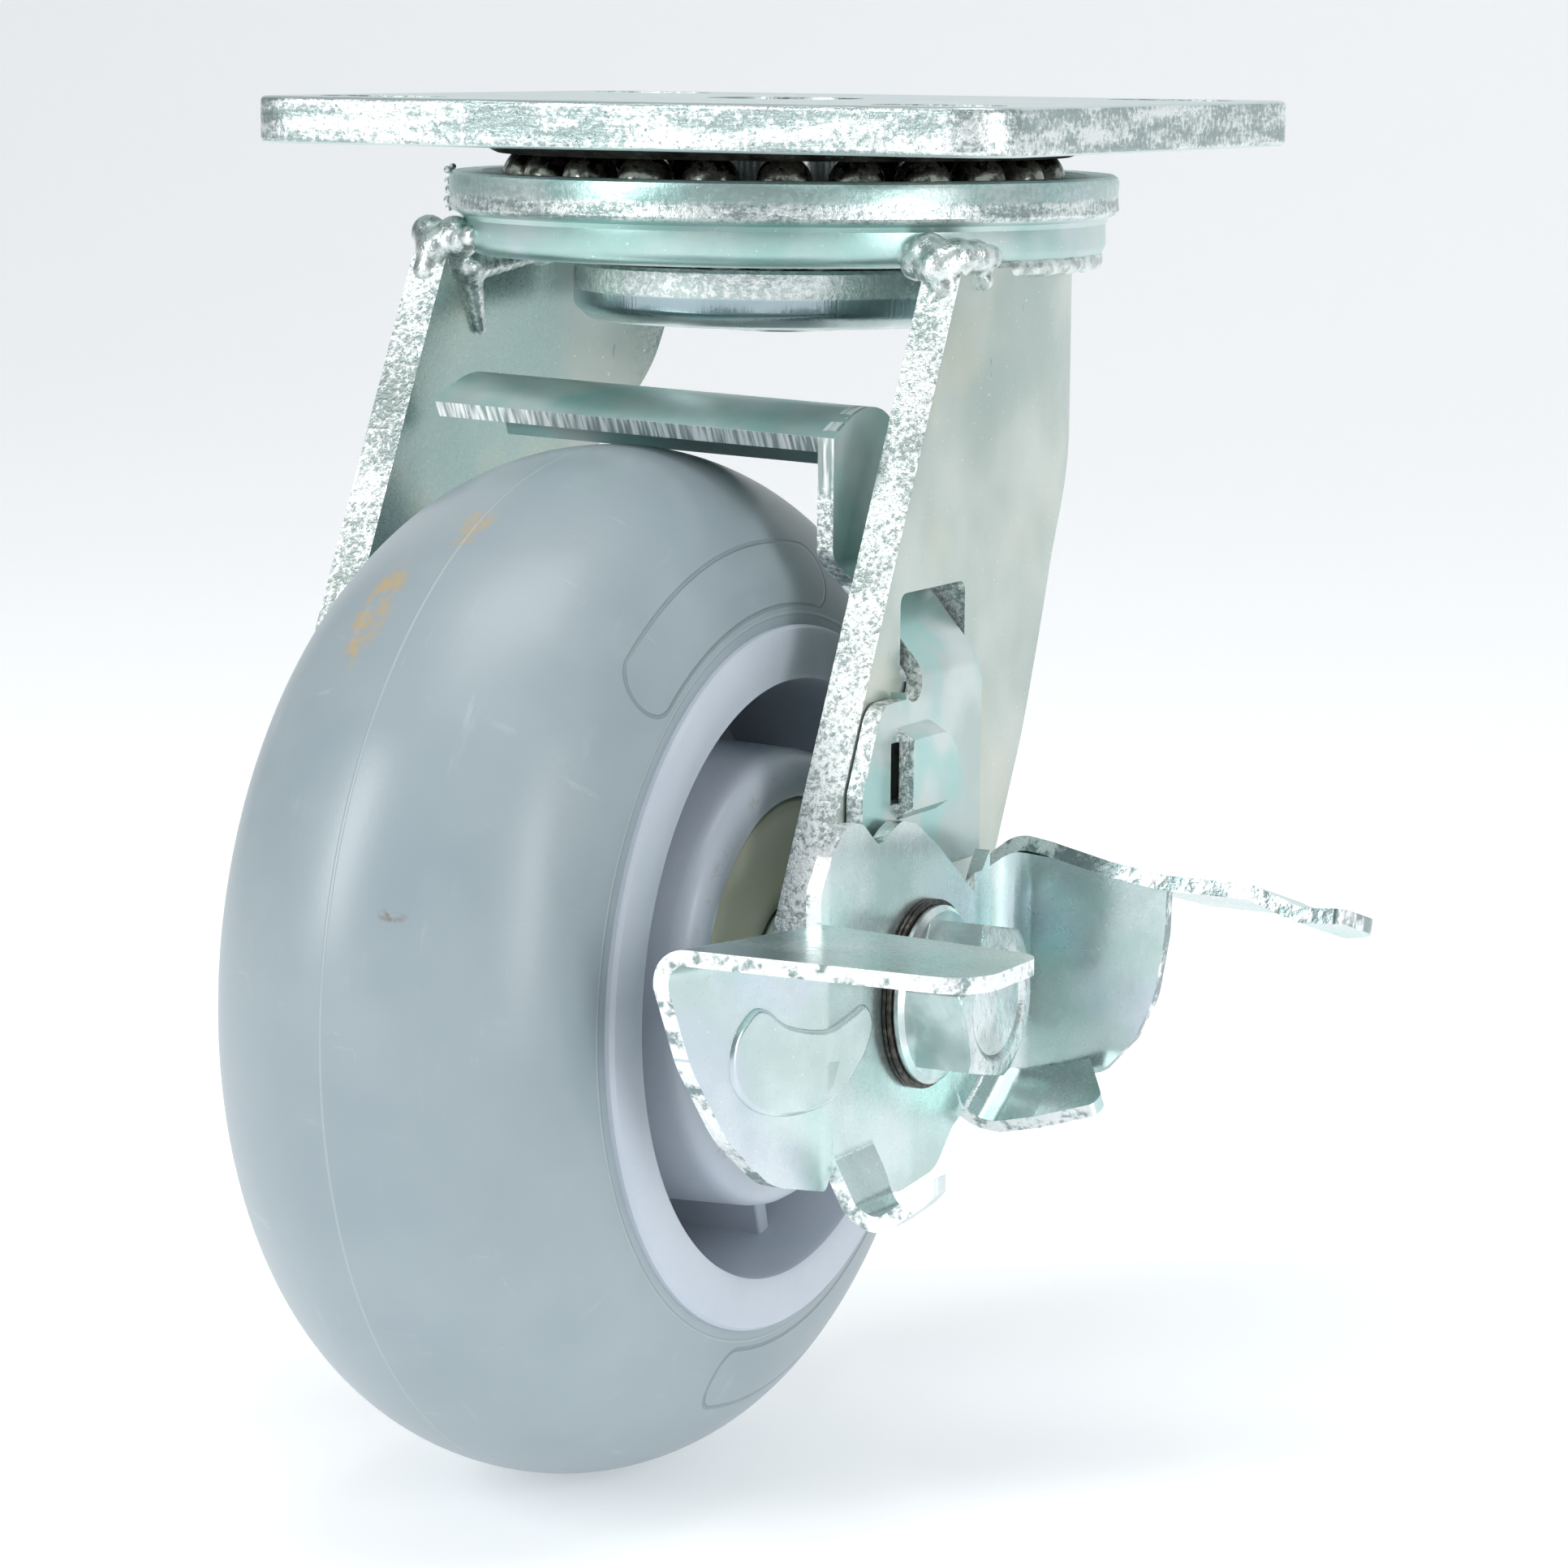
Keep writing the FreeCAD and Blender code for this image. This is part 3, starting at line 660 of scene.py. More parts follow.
def oily_balls():
    b = Board("oily_balls")
    smear = b.noise(0.5, 4.0, 0.6, shift=9.0)
    dirty = b.band(smear, 0.42, 0.62)
    colour = b.mix(dirty, (0.30, 0.30, 0.26), (0.050, 0.048, 0.036))
    b.finish(colour=colour, rough=dirty * 0.3 + 0.16, metal=1.0 - dirty * 0.6, normal=b.bump(smear, 0.10))
    return b.material


black_race = greased()
ball_steel = oily_balls()
dress(race, black_race, "mounting_plate", "greased_steel", "upper_race")
dress(upper_balls, ball_steel, "upper_balls", "ball_steel", "upper_ball_set")
dress(lower_balls, ball_steel, "lower_balls", "ball_steel", "lower_ball_set")


# %% The lower disc, marked by the press
def disc_zinc():
    b = Board("zinc_disc_marks")
    x, y, z = b.parts(b.place)
    around = b.one("ARCTAN2", y, x) * 29.3
    flat = b.node("ShaderNodeCombineXYZ", {}, {0: around, 1: 0.0, 2: z})
    marks = b.noise(1.0, 2.0, 0.5, vector=b.stretch(2.3, 1.0, 0.12, flat))
    sugar = b.noise(1.1, 3.0, 0.7, shift=15.0)
    lower = b.band(z, -26.2, -26.7) * b.band(z, -29.4, -28.9)
    upper = b.band(z, -26.7, -26.2)
    cloud = b.noise(0.08, 3.0, 0.5, shift=4.0)
    colour = b.mix(b.band(cloud, 0.35, 0.65), (0.50, 0.60, 0.58), (0.72, 0.80, 0.79))
    colour = b.mix(upper * b.band(sugar, 0.45, 0.60), colour, (0.90, 0.93, 0.92))
    colour = b.mix(lower * 0.75, colour, (0.25, 0.33, 0.38))
    height = lower * (marks - 0.5) * 2.6 + upper * (sugar - 0.5) * 7.0 + (b.noise(1.2, 3.0, 0.6) - 0.5) * 0.8
    rough = 0.30 - lower * 0.14 + (sugar - 0.5) * 0.15
    b.finish(colour=colour, rough=rough, metal=0.88, normal=b.bump(height, 0.02))
    return b.material


dress(disc, disc_zinc(), "mounting_plate", "zinc_plate", "lower_race_disc")

# %% [markdown]
# ## Fork legs and their welds
# Each leg is a thick blank, flat where the axle crosses it and curved round under the drum at its
# back edge. Its side outline is extruded across, and then trimmed by a plan shape: what lies
# inside the outer face and outside the inner face. Only the lever side has the window that the
# brake bar passes through. The welds are puddles of metal, so they are made from overlapping
# balls that a voxel remesh melts together and a smooth relaxes, like the ripples of a real bead.

# %% The two legs
leg_line = [(-30.4, -21.6), (-76.4, -111.8), (-75.5, -131.0), (-36.0, -131.5), (-22.0, -109.0),
            (-9.0, -84.6), (0.6, -60.0), (16.4, -40.5), (21.5, -21.6)]
leg_radii = [0, 9, 16, 16, 30, 60, 30, 20, 0]
bend_y = -4.0


def leg_plan(half):
    """Seen from above: straight sides in front of the bend line and half a circle behind it."""
    line = [(half, -90.0), (half, bend_y)]
    line += [(half * math.cos(math.pi * i / 48), bend_y + half * math.sin(math.pi * i / 48)) for i in range(1, 48)]
    line += [(-half, bend_y), (-half, -90.0)]
    return sheet("plan_tool", line, -140.0, -21.6, "Z")


def fork_leg(name, side, window):
    low, high = (20.0, 44.0) if side > 0 else (-44.0, -20.0)
    ob = sheet(name, round_outline(leg_line, leg_radii, 10), low, high, "X")
    cut(ob, leg_plan(leg_out), "INTERSECT")
    cut(ob, leg_plan(leg_in), "DIFFERENCE")
    soften(ob, 0.5, 3, 35)
    if window:
        hole = [(-47.4, -62.3), (-28.0, -62.3), (-28.0, -73.8), (-47.4, -73.8)]
        cut(ob, sheet("window_tool", round_outline(hole, 1.5, 4), leg_in - 2, leg_out + 2, "X"))
    cut(ob, rod("axle_tool", 6.35, min(low, high) - 2, max(low, high) + 2))
    only(ob)
    bpy.ops.object.shade_smooth_by_angle(angle=math.radians(30))
    return ob


def leg_zinc():
    """Satin sage-grey faces with pin-prick specks, sugary sheared edges and painted shade on the inner faces."""
    b = Board("zinc_leg")
    nx, ny, nz = b.parts(b.facing)
    x, y, z = b.parts(b.place)
    front = b.band(ny, -0.45, -0.75)
    other = b.band(b.one("ABSOLUTE", nz), 0.45, 0.75)
    behind = b.band(ny, 0.80, 0.92)
    edge = b.one("MINIMUM", front + other + behind, 1.0)
    # painted shade: the leg's inner faces, in front of the bend, are darkened towards teal
    inner_faces_painted_shade = b.band(b.one("ABSOLUTE", x), 38.6, 37.4) * b.band(y, 4.0, -2.0)
    cloud = b.noise(0.035, 3.0, 0.5, shift=2.0)
    colour = b.mix(b.band(cloud, 0.35, 0.66), (0.47, 0.56, 0.52), (0.66, 0.72, 0.67))
    colour = b.mix(inner_faces_painted_shade * 0.6, colour, (0.34, 0.52, 0.50))
    warm = b.band(b.noise(0.05, 2.0, 0.5, shift=77.0), 0.52, 0.70) * 0.30
    colour = b.mix(warm, colour, (0.66, 0.66, 0.52))
    sparkle = b.noise(2.0, 1.0, 0.5, shift=11.0)
    dots = b.band(sparkle, 0.72, 0.77)
    colour = b.mix(dots * 0.8, colour, (0.97, 0.99, 0.98))
    nick = b.noise(1.0, 3.0, 0.6, vector=b.stretch(0.5, 0.55, 0.16), shift=29.0)
    nicks = b.band(nick, 0.70, 0.75)
    colour = b.mix(nicks * 0.6, colour, (0.22, 0.26, 0.26))
    sugar = b.noise(1.3, 3.0, 0.75, shift=17.0)
    patch = b.noise(0.10, 2.0, 0.5, shift=33.0)
    sheared = b.mix(b.band(sugar + (patch - 0.5) * 0.5, 0.38, 0.60), (0.28, 0.34, 0.33), (0.86, 0.90, 0.89))
    colour = b.mix(edge * 0.9, colour, sheared)
    fine = b.noise(1.2, 4.0, 0.6, shift=7.0)
    height = edge * (sugar - 0.5) * 0.20 + (fine - 0.5) * 0.022 + dots * 0.02 + (cloud - 0.5) * 0.2
    rough = 0.36 + (fine - 0.5) * 0.16 + edge * 0.06 - inner_faces_painted_shade * 0.08
    b.finish(colour=colour, rough=rough, metal=0.82, normal=b.bump(height, 1.0))
    return b.material


near = fork_leg("lever_side_leg", 1, True)
far = fork_leg("far_side_leg", -1, False)
leg_finish = leg_zinc()
dress(near, leg_finish, "fork", "zinc_sheet", "near_leg")
dress(far, leg_finish, "fork", "zinc_sheet", "far_leg")


# %% Weld puddles melted together
def weld(name, lumps):
    """Lumps are (x, y, z, radius) in mm."""
    made = []
    for x, y, z, r in lumps:
        clear_selection()
        bpy.ops.mesh.primitive_ico_sphere_add(subdivisions=3, radius=r * mm, location=(x * mm, y * mm, z * mm))
        made.append(bpy.context.object)
    ob = join(*made)
    ob.name = name
    bpy.ops.object.transform_apply(location=True, rotation=True, scale=True)
    melt = ob.modifiers.new("melt", "REMESH")
    melt.mode = "VOXEL"
    melt.voxel_size = 0.38 * mm
    bpy.ops.object.modifier_apply(modifier=melt.name)
    calm = ob.modifiers.new("calm", "SMOOTH")
    calm.factor = 0.5
    calm.iterations = 14
    bpy.ops.object.modifier_apply(modifier=calm.name)
    bpy.ops.object.shade_smooth()
    return ob


def seam_lumps(side):
    """A low, even run along the outside of the drum and another inside the leg."""
    run = []
    for i in range(44):
        turn = math.radians(-36 + i * 1.6)
        run.append((side * 43.2 * math.cos(turn), 43.2 * math.sin(turn), -21.7, 1.5 + 0.10 * math.cos(i * 1.1)))
    for i in range(26):
        y = -28.0 + i * 1.2
        run.append((side * (leg_in + 0.2), y, -22.2 + 0.2 * math.sin(i * 0.9), 1.7 + 0.2 * math.sin(i * 0.7)))
    return run


near_front = [(38.6, -29.6, -21.2, 3.4), (36.4, -28.7, -19.6, 3.0), (34.6, -28.8, -21.0, 2.2),
              (40.4, -28.6, -20.0, 2.8), (39.8, -30.4, -24.0, 2.2), (38.4, -31.0, -25.8, 1.7),
              (42.0, -26.4, -19.8, 2.4), (42.9, -24.0, -20.0, 1.9), (42.6, -25.0, -23.0, 1.5)]
far_front = [(-38.8, -29.0, -21.0, 3.2), (-36.2, -28.8, -19.0, 2.8), (-34.2, -29.8, -19.8, 2.3),
             (-31.6, -31.6, -19.0, 1.8), (-40.8, -28.0, -18.8, 2.6), (-39.4, -30.4, -23.8, 2.3)]
for i in range(10):
    far_front.append((-35.6 + 0.04 * i, -26.0 + i * 2.2, -23.2 + 0.12 * i, 2.5 - 0.14 * i))
for i in range(8):
    far_front.append((-35.9, -25.6 + i * 0.45, -24.0 - i * 1.15, 1.9 - 0.12 * i))
near_weld = weld("weld_lever_side", seam_lumps(1) + near_front)
far_weld = weld("weld_far_side", seam_lumps(-1) + far_front)


# %% Spatter beads thrown on the rim
spatter = []
for i, (turn, z, r) in enumerate([(204, -10.6, 0.75), (207, -11.9, 0.6), (203, -13.2, 0.85), (208, -14.5, 0.65),
                                  (201, -10.0, 0.5), (212, -10.2, 0.55), (216, -10.1, 0.4), (205, -15.6, 0.55)]):
    a = math.radians(turn)
    clear_selection()
    bpy.ops.mesh.primitive_ico_sphere_add(subdivisions=2, radius=r * mm,
                                          location=(46.9 * mm * math.cos(a), 46.9 * mm * math.sin(a), z * mm))
    bpy.ops.object.transform_apply(location=True, rotation=True, scale=True)
    bpy.ops.object.shade_smooth()
    spatter.append(bpy.context.object)
far_weld = join(far_weld, *spatter)


def weld_metal():
    b = Board("weld_bead")
    lump = b.noise(0.45, 4.0, 0.6)
    colour = b.mix(b.band(lump, 0.36, 0.62), (0.40, 0.47, 0.45), (0.78, 0.83, 0.81))
    soot = b.band(b.noise(1.3, 3.0, 0.7, shift=13.0), 0.36, 0.28)
    colour = b.mix(soot * 0.6, colour, (0.10, 0.11, 0.09))
    b.finish(colour=colour, rough=lump * 0.3 + 0.14, metal=0.90, normal=b.bump(lump, 0.35))
    return b.material


bead_metal = weld_metal()
dress(near_weld, bead_metal, "fork", "weld_metal", "near_weld")
dress(far_weld, bead_metal, "fork", "weld_metal", "far_weld")

# %% [markdown]
# ## The wheel
# The tyre is a thick rubber bun: half an ellipse spun about the axle. Its raised side panels, the
# mould's parting line and the bead ring are too shallow to be worth modelling as geometry, so
# the finish works out its own radius and angle on the tyre, presses those lines in by bump and
# paints shade into the panels' groove.
# The nylon core shows a flat rim, a deep recess with four ribs, and a hub with a rolled nose; painted shade darkens the
# recess.

# %% Tyre
def tyre_profile():
    half, rise, start = 26.7, 23.5, 45.1
    crown = []
    for i in range(57):
        a = math.radians(3.2) + (math.pi - 2 * math.radians(3.2)) * i / 56
        crown.append((half * math.cos(a), start + rise * math.sin(a)))
    edge = crown[0][0]
    return crown + [(-edge, 46.4), (-17.0, 46.4), (-15.0, 50.0), (15.0, 50.0), (17.0, 46.4), (edge, 46.4)]


tyre = lathe("tyre_tread", tyre_profile(), "X", 224, 30)


# %% Core with its ribs
def mirrored(half):
    return half + [(-x, r) for x, r in half[::-1]]


core = lathe("wheel_core_body", mirrored([
    (24.6, 15.1), (24.6, 24.0), (28.3, 24.0), (28.8, 24.5), (29.0, 25.6), (28.95, 26.8), (28.6, 28.2),
    (27.9, 29.3), (26.9, 29.9), (25.6, 30.15), (4.6, 30.9), (3.0, 32.4), (3.0, 37.4), (4.6, 38.9),
    (27.4, 39.2), (28.1, 39.5), (28.45, 40.3), (28.4, 43.0), (28.1, 45.4), (27.9, 46.0), (27.3, 46.4),
    (17.0, 46.4), (15.0, 50.0)]), "X", 192, 30)


def rib(side, angle):
    """A thin wall across the recess, standing nine millimetres below the rim."""
    line = [(-1.4, 29.8), (1.4, 29.8), (1.3, 39.6), (-1.3, 39.6)]
    turned = []
    a = math.radians(angle - 90)
    for u, r in line:
        turned.append((axle_y + u * math.cos(a) - r * math.sin(a), axle_z + u * math.sin(a) + r * math.cos(a)))
    low, high = (2.5, 19.0) if side > 0 else (-19.0, -2.5)
    ob = sheet("rib", turned, low, high, "X")
    return soften(ob, 0.5, 3, 40)


ribs = [rib(side, 107 + 90 * k) for side in (-1, 1) for k in range(4)]
core = join(core, *ribs)


# %% Bearing caps, dished like the real ones
def bearing_cap(name, side):
    line = [(20.8, 10.0), (27.6, 10.0), (28.1, 10.4), (28.3, 11.2), (28.3, 14.0), (28.0, 15.0), (28.0, 20.6),
            (28.2, 21.4), (28.3, 22.6), (28.2, 23.4), (27.8, 23.85), (24.6, 23.9), (24.6, 15.0), (20.8, 15.0)]
    return lathe(name, [(side * x, r) for x, r in line], "X", 128, 25)


near_cap = bearing_cap("ivory_cap_lever_side", 1)
far_cap = bearing_cap("ivory_cap_far_side", -1)


# %% Grey rubber with its moulded lines, stains and scuffs
def rubber():
    b = Board("grey_rubber")
    x, y, z = b.parts(b.place)
    dy, dz = y - axle_y, z - axle_z
    radius = b.one("SQRT", dy * dy + dz * dz)
    angle = b.one("ARCTAN2", dz, dy) * (180 / math.pi)
    # two banana panels a side, 55 degrees long, on the line where the radius is 53
    turned = b.one("WRAP", angle - 102.5, 90.0, -90.0)
    beyond = b.one("MAXIMUM", b.one("ABSOLUTE", turned) - 24.5, 0.0) * (53 * math.pi / 180)
    off = radius - 53.0
    inside = b.one("SQRT", off * off + beyond * beyond) - 4.05
    groove = b.band(b.one("ABSOLUTE", inside), 0.34, 0.05)
    panel = b.band(inside, 0.25, -0.25)
    bead = b.band(b.one("ABSOLUTE", radius - 47.9), 0.35, 0.05)
    parting = b.band(b.one("ABSOLUTE", x + 0.4), 0.30, 0.05)
    grain = b.noise(1.3, 4.0, 0.6)
    soft = b.noise(0.03, 3.0, 0.55, shift=12.0)
    colour = b.mix(b.band(soft, 0.25, 0.75), (0.285, 0.350, 0.385), (0.325, 0.390, 0.420))
    # fine scratches that run round the tread, and a chalky bloom where it has rolled
    flat = b.node("ShaderNodeCombineXYZ", {}, {0: x, 1: angle * 1.19, 2: radius * 0.2})
    scratch = b.noise(1.0, 5.0, 0.7, vector=b.stretch(0.42, 0.055, 0.4, flat))
    cross = b.noise(1.0, 4.0, 0.7, vector=b.stretch(0.10, 0.36, 0.4, flat), shift=40.0)
    chalk = b.band(b.noise(0.045, 3.0, 0.6, shift=25.0), 0.40, 0.66)
    lines = b.band(scratch, 0.60, 0.72) * 0.5 + b.band(cross, 0.62, 0.73) * 0.5
    colour = b.mix(lines * chalk * 0.55, colour, (0.55, 0.62, 0.65))
    colour = b.mix(chalk * 0.12, colour, (0.46, 0.52, 0.55))
    # ochre stains on the front of the tread and one dark rub
    broken = b.band(b.noise(0.42, 4.0, 0.7, shift=51.0), 0.40, 0.60)

    def blot(at_x, at_angle, wide, tall):
        u = (x - at_x) / wide
        v = b.one("WRAP", angle - at_angle, 180.0, -180.0) / tall
        return b.band(u * u + v * v, 1.0, 0.1)

    ochre = (blot(-7.4, 131.0, 3.4, 9.5) + blot(-0.5, 117.0, 2.4, 5.5) * 0.75) * broken
    colour = b.mix(b.one("MINIMUM", ochre, 1.0) * 0.80, colour, (0.52, 0.37, 0.16))
    rub = blot(8.0, 165.5, 2.2, 0.9) * broken
    colour = b.mix(rub, colour, (0.22, 0.19, 0.15))
    # painted shade: the panels' groove line is darkened
    colour = b.mix(groove * 0.55, colour, (0.20, 0.25, 0.27))
    colour = b.mix(bead * 0.4, colour, (0.42, 0.48, 0.50))
    rough = 0.34 + (soft - 0.5) * 0.10 + chalk * 0.05 + lines * chalk * 0.12
    height = (grain - 0.5) * 0.02 - lines * chalk * 0.02 - groove * 0.22 + panel * 0.06 + bead * 0.12
    height = height + parting * 0.06
    colour = b.mix(parting * 0.4, colour, (0.48, 0.54, 0.56))
    b.finish(colour=colour, rough=rough, metal=0.0, normal=b.bump(height, 1.0), coat=0.15, coat_rough=0.22)
    return b.material


# %% Nylon core and ivory caps
def nylon():
    b = Board("grey_nylon")
    x, y, z = b.parts(b.place)
    dy, dz = y - axle_y, z - axle_z
    radius = b.one("SQRT", dy * dy + dz * dz)
    cloud = b.noise(0.06, 3.0, 0.5)
    colour = b.mix(cloud, (0.46, 0.52, 0.60), (0.58, 0.63, 0.70))
    # painted shade: the deep recess between the ribs is darkened
    deep = b.band(b.one("ABSOLUTE", x), 16.0, 4.0) * b.band(radius, 30.0, 31.0) * b.band(radius, 40.0, 39.0)
    colour = b.mix(deep * 0.45, colour, (0.20, 0.24, 0.29))
    nose = b.band(b.one("ABSOLUTE", radius - 27.2), 1.5, 0.3) * b.band(b.noise(0.5, 4.0, 0.7, shift=8.0), 0.55, 0.65)
    colour = b.mix(nose * 0.5, colour, (0.42, 0.38, 0.28))
    flecks = b.band(b.noise(1.9, 2.0, 0.6, shift=3.0), 0.70, 0.75)
    colour = b.mix(flecks * 0.35, colour, (0.80, 0.84, 0.87))
    fine = b.noise(1.1, 3.0, 0.6)
    b.finish(colour=colour, rough=fine * 0.15 + 0.30, metal=0.0, normal=b.bump(fine, 0.03), coat=0.1, coat_rough=0.2)
    return b.material


def ivory():
    b = Board("ivory_plastic")
    x, y, z = b.parts(b.place)
    dy, dz = y - axle_y, z - axle_z
    radius = b.one("SQRT", dy * dy + dz * dz)
    cloud = b.noise(0.08, 3.0, 0.5)
    colour = b.mix(cloud, (0.66, 0.66, 0.50), (0.76, 0.75, 0.60))
    outline = b.band(radius, 23.2, 23.8)
    colour = b.mix(outline * 0.7, colour, (0.20, 0.19, 0.14))
    dirt = b.band(b.noise(0.9, 3.0, 0.7, shift=6.0), 0.66, 0.74)
    colour = b.mix(dirt * 0.5, colour, (0.33, 0.31, 0.22))
    fine = b.noise(0.8, 3.0, 0.6)
    b.finish(colour=colour, rough=fine * 0.2 + 0.34, metal=0.0, normal=b.bump(fine, 0.03))
    return b.material


grey_nylon = nylon()
ivory_plastic = ivory()
dress(tyre, rubber(), "wheel", "grey_tread", "tyre")
dress(core, grey_nylon, "wheel", "grey_core", "wheel_core")
dress(near_cap, ivory_plastic, "wheel", "ivory_plastic", "near_bearing_cap")
dress(far_cap, ivory_plastic, "wheel", "ivory_plastic", "far_bearing_cap")

# %% [markdown]
# ## Axle, nut and washers
# The axle is a hexagon bolt with a round flange, and it clamps the whole brake. The head starts
# as a six-sided cylinder; keeping only what it shares with a turned cone gives the true
# chamfered corners of a forged head. Two thin dark spring washers press on the lever.

# %% Hexagon heads
def hexagon(name, low, high, profile):
    ob = rod(name, 19.0 / math.sqrt(3.0), low, high, sides=6)
    only(ob)
    bpy.ops.object.mode_set(mode="EDIT")
    bpy.ops.mesh.select_all(action="SELECT")
    bpy.ops.transform.rotate(value=math.radians(12), orient_axis="X", center_override=axle)
    bpy.ops.object.mode_set(mode="OBJECT")
    return cut(ob, lathe("cone", profile, "X", 96), "INTERSECT")


head = hexagon("bolt_head", 50.0, 58.6, [(49.0, 0.4), (49.0, 11.25), (57.5, 11.25), (58.2, 10.4), (58.6, 9.2),
                                          (58.6, 8.2), (58.3, 7.4), (58.0, 7.0), (58.0, 0.4)])
cut(head, rod("plug", 0.6, 49.0, 58.0, sides=16), "UNION")
soften(head, 0.35, 3, 25)
shank = lathe("bolt_shank", [(-56.0, 0.02), (-56.0, 5.5), (-55.2, 6.35), (48.9, 6.35), (48.9, 11.2), (49.1, 11.6),
                             (49.7, 11.6), (50.3, 10.9), (50.4, 10.2), (50.4, 0.02)], "X", 96, 30)
bolt = join(shank, head)
bolt.name = "axle_bolt_flanged"
nut = hexagon("axle_locknut", -52.0, -44.0, [(-43.0, 6.35), (-43.0, 11.25), (-50.9, 11.25), (-51.6, 10.4),
                                             (-52.0, 9.2), (-52.0, 8.6), (-54.0, 8.5), (-54.6, 7.9), (-54.6, 6.35)])
soften(nut, 0.3, 3, 25)
collar = lathe("collar", [(-51.6, 6.35), (-51.6, 8.7), (-53.6, 8.6), (-54.3, 8.2), (-54.6, 7.4), (-54.6, 6.35)],
               "X", 64, 30)
nut = join(nut, collar)


# %% Washers, spacers and the axle's sleeve
def washer(name, r_in, r_out, low, high):
    ob = lathe(name, [(low, r_in), (low, r_out), (high, r_out), (high, r_in)], "X", 96)
    return soften(ob, min(0.35, (high - low) * 0.3), 2, 40)


wide_washer = washer("nut_washer_ring", 6.4, 12.0, -44.0, -42.0)
spacer = washer("cam_spacer_ring", 6.4, 11.5, 42.0, 45.4)
springs = join(washer("spring_washer_pair", 6.4, 12.3, 47.8, 48.3), washer("second", 6.4, 12.3, 48.4, 48.9))
sleeve = washer("axle_sleeve", 6.4, 9.5, -36.5, 36.5)
collars = join(washer("side_collars", 9.5, 11.0, 28.8, 36.5), washer("other", 9.5, 11.0, -36.5, -28.8))


def bolt_zinc():
    b = Board("zinc_forged")
    x, y, z = b.parts(b.place)
    top = b.band(x, 57.7, 58.1)
    peel = b.noise(0.75, 3.0, 0.6, shift=19.0)
    cloud = b.noise(0.15, 3.0, 0.5)
    colour = b.mix(b.band(cloud, 0.35, 0.65), (0.50, 0.58, 0.57), (0.80, 0.86, 0.86))
    colour = b.mix(b.band(b.noise(0.11, 2.0, 0.5, shift=44.0), 0.5, 0.65) * 0.4, colour, (0.50, 0.80, 0.78))
    height = top * (peel - 0.5) * 1.4 + (b.noise(0.8, 3.0, 0.6) - 0.5) * 0.25
    b.finish(colour=colour, rough=cloud * 0.2 + 0.14, metal=0.92, normal=b.bump(height, 0.12))
    return b.material


def dark_steel():
    b = Board("dark_spring_steel")
    fine = b.noise(0.9, 4.0, 0.6)
    colour = b.mix(b.band(fine, 0.4, 0.65), (0.030, 0.028, 0.026), (0.12, 0.105, 0.09))
    b.finish(colour=colour, rough=fine * 0.2 + 0.3, metal=0.75, normal=b.bump(fine, 0.03))
    return b.material


forged = bolt_zinc()
spring_steel = dark_steel()
dress(bolt, forged, "fork", "bolt_steel", "axle_bolt")
dress(nut, forged, "fork", "bolt_steel", "axle_nut")
dress(wide_washer, forged, "fork", "bolt_steel", "nut_washer")
dress(spacer, forged, "fork", "bolt_steel", "cam_spacer")
dress(springs, spring_steel, "fork", "spring_steel", "spring_washers")
dress(sleeve, forged, "fork", "bolt_steel", "spanner_bushing")
dress(collars, forged, "fork", "bolt_steel", "side_spacers")

# %% [markdown]
# ## Brake bar
# The bar is one stamping: a curved shoe over the tread, an arm folded down beside it, a crank
# through the leg's window, and an outer plate with a lanced bump. Its measured solid already has
# every fold, so a copy of it is merged, its flat faces are dissolved into single polygons and the
# stamped edges are rounded. A mask on the piece marks the sheared edges for the finish.

# %% A copy of a measured solid, refined
def refined(name, node, bevel, thickest, smooth=35.0):
    clear_selection()
    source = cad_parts[node]
    ob = source.copy()
    ob.data = source.data.copy()
    bpy.context.collection.objects.link(ob)
    ob.parent = None
    for key in list(ob.keys()):
        del ob[key]
    ob.name = name
    only(ob)
    bpy.ops.object.mode_set(mode="EDIT")
    bpy.ops.mesh.select_all(action="SELECT")
    bpy.ops.mesh.remove_doubles(threshold=0.000002)
    bpy.ops.mesh.dissolve_limited(angle_limit=math.radians(1.0))
    bpy.ops.mesh.normals_make_consistent(inside=False)
    bpy.ops.object.mode_set(mode="OBJECT")
    if thickest:
        flag_rim(ob, thickest)
    soften(ob, bevel, 2, smooth)
    return ob


bar = refined("brake_bar_and_shoe", "brake_bar", 0.35, 2.8)


# %% The shoe's blue-green top and its ribbed sheared edge
def bar_zinc():
    b = Board("zinc_bar_ribbed")
    rim = flagged(b)
    x, y, z = b.parts(b.place)
    shoe = b.band(z, -52.0, -47.0)
    ribs = b.noise(1.0, 2.0, 0.5, vector=b.stretch(1.5, 0.12, 0.12))
    sugar = b.noise(1.1, 3.0, 0.75, shift=17.0)
    cloud = b.noise(0.06, 3.0, 0.5, shift=14.0)
    colour = b.mix(b.band(cloud, 0.35, 0.65), (0.50, 0.60, 0.58), (0.68, 0.76, 0.74))
    colour = b.mix(b.band(b.noise(0.08, 2.0, 0.5, shift=70.0), 0.45, 0.65) * 0.6, colour, (0.33, 0.66, 0.63))
    grain = ribs * shoe + sugar * (1 - shoe)
    cut_face = b.mix(b.band(grain, 0.40, 0.60), (0.30, 0.36, 0.35), (0.97, 0.99, 0.98))
    colour = b.mix(rim * 0.85, colour, cut_face)
    specks = b.band(b.noise(1.7, 2.0, 0.7, shift=2.0), 0.70, 0.76)
    colour = b.mix(specks * 0.5, colour, (0.95, 0.97, 0.97))
    height = rim * (grain - 0.5) * 0.22 + (b.noise(0.8, 3.0, 0.6) - 0.5) * 0.02 + (cloud - 0.5) * 0.15
    rough = cloud * 0.2 + 0.24 + rim * 0.10
    b.finish(colour=colour, rough=rough, metal=0.88, normal=b.bump(height, 1.0))
    return b.material


dress(bar, bar_zinc(), "brake_bar", "zinc_sheet", "brake_bar")
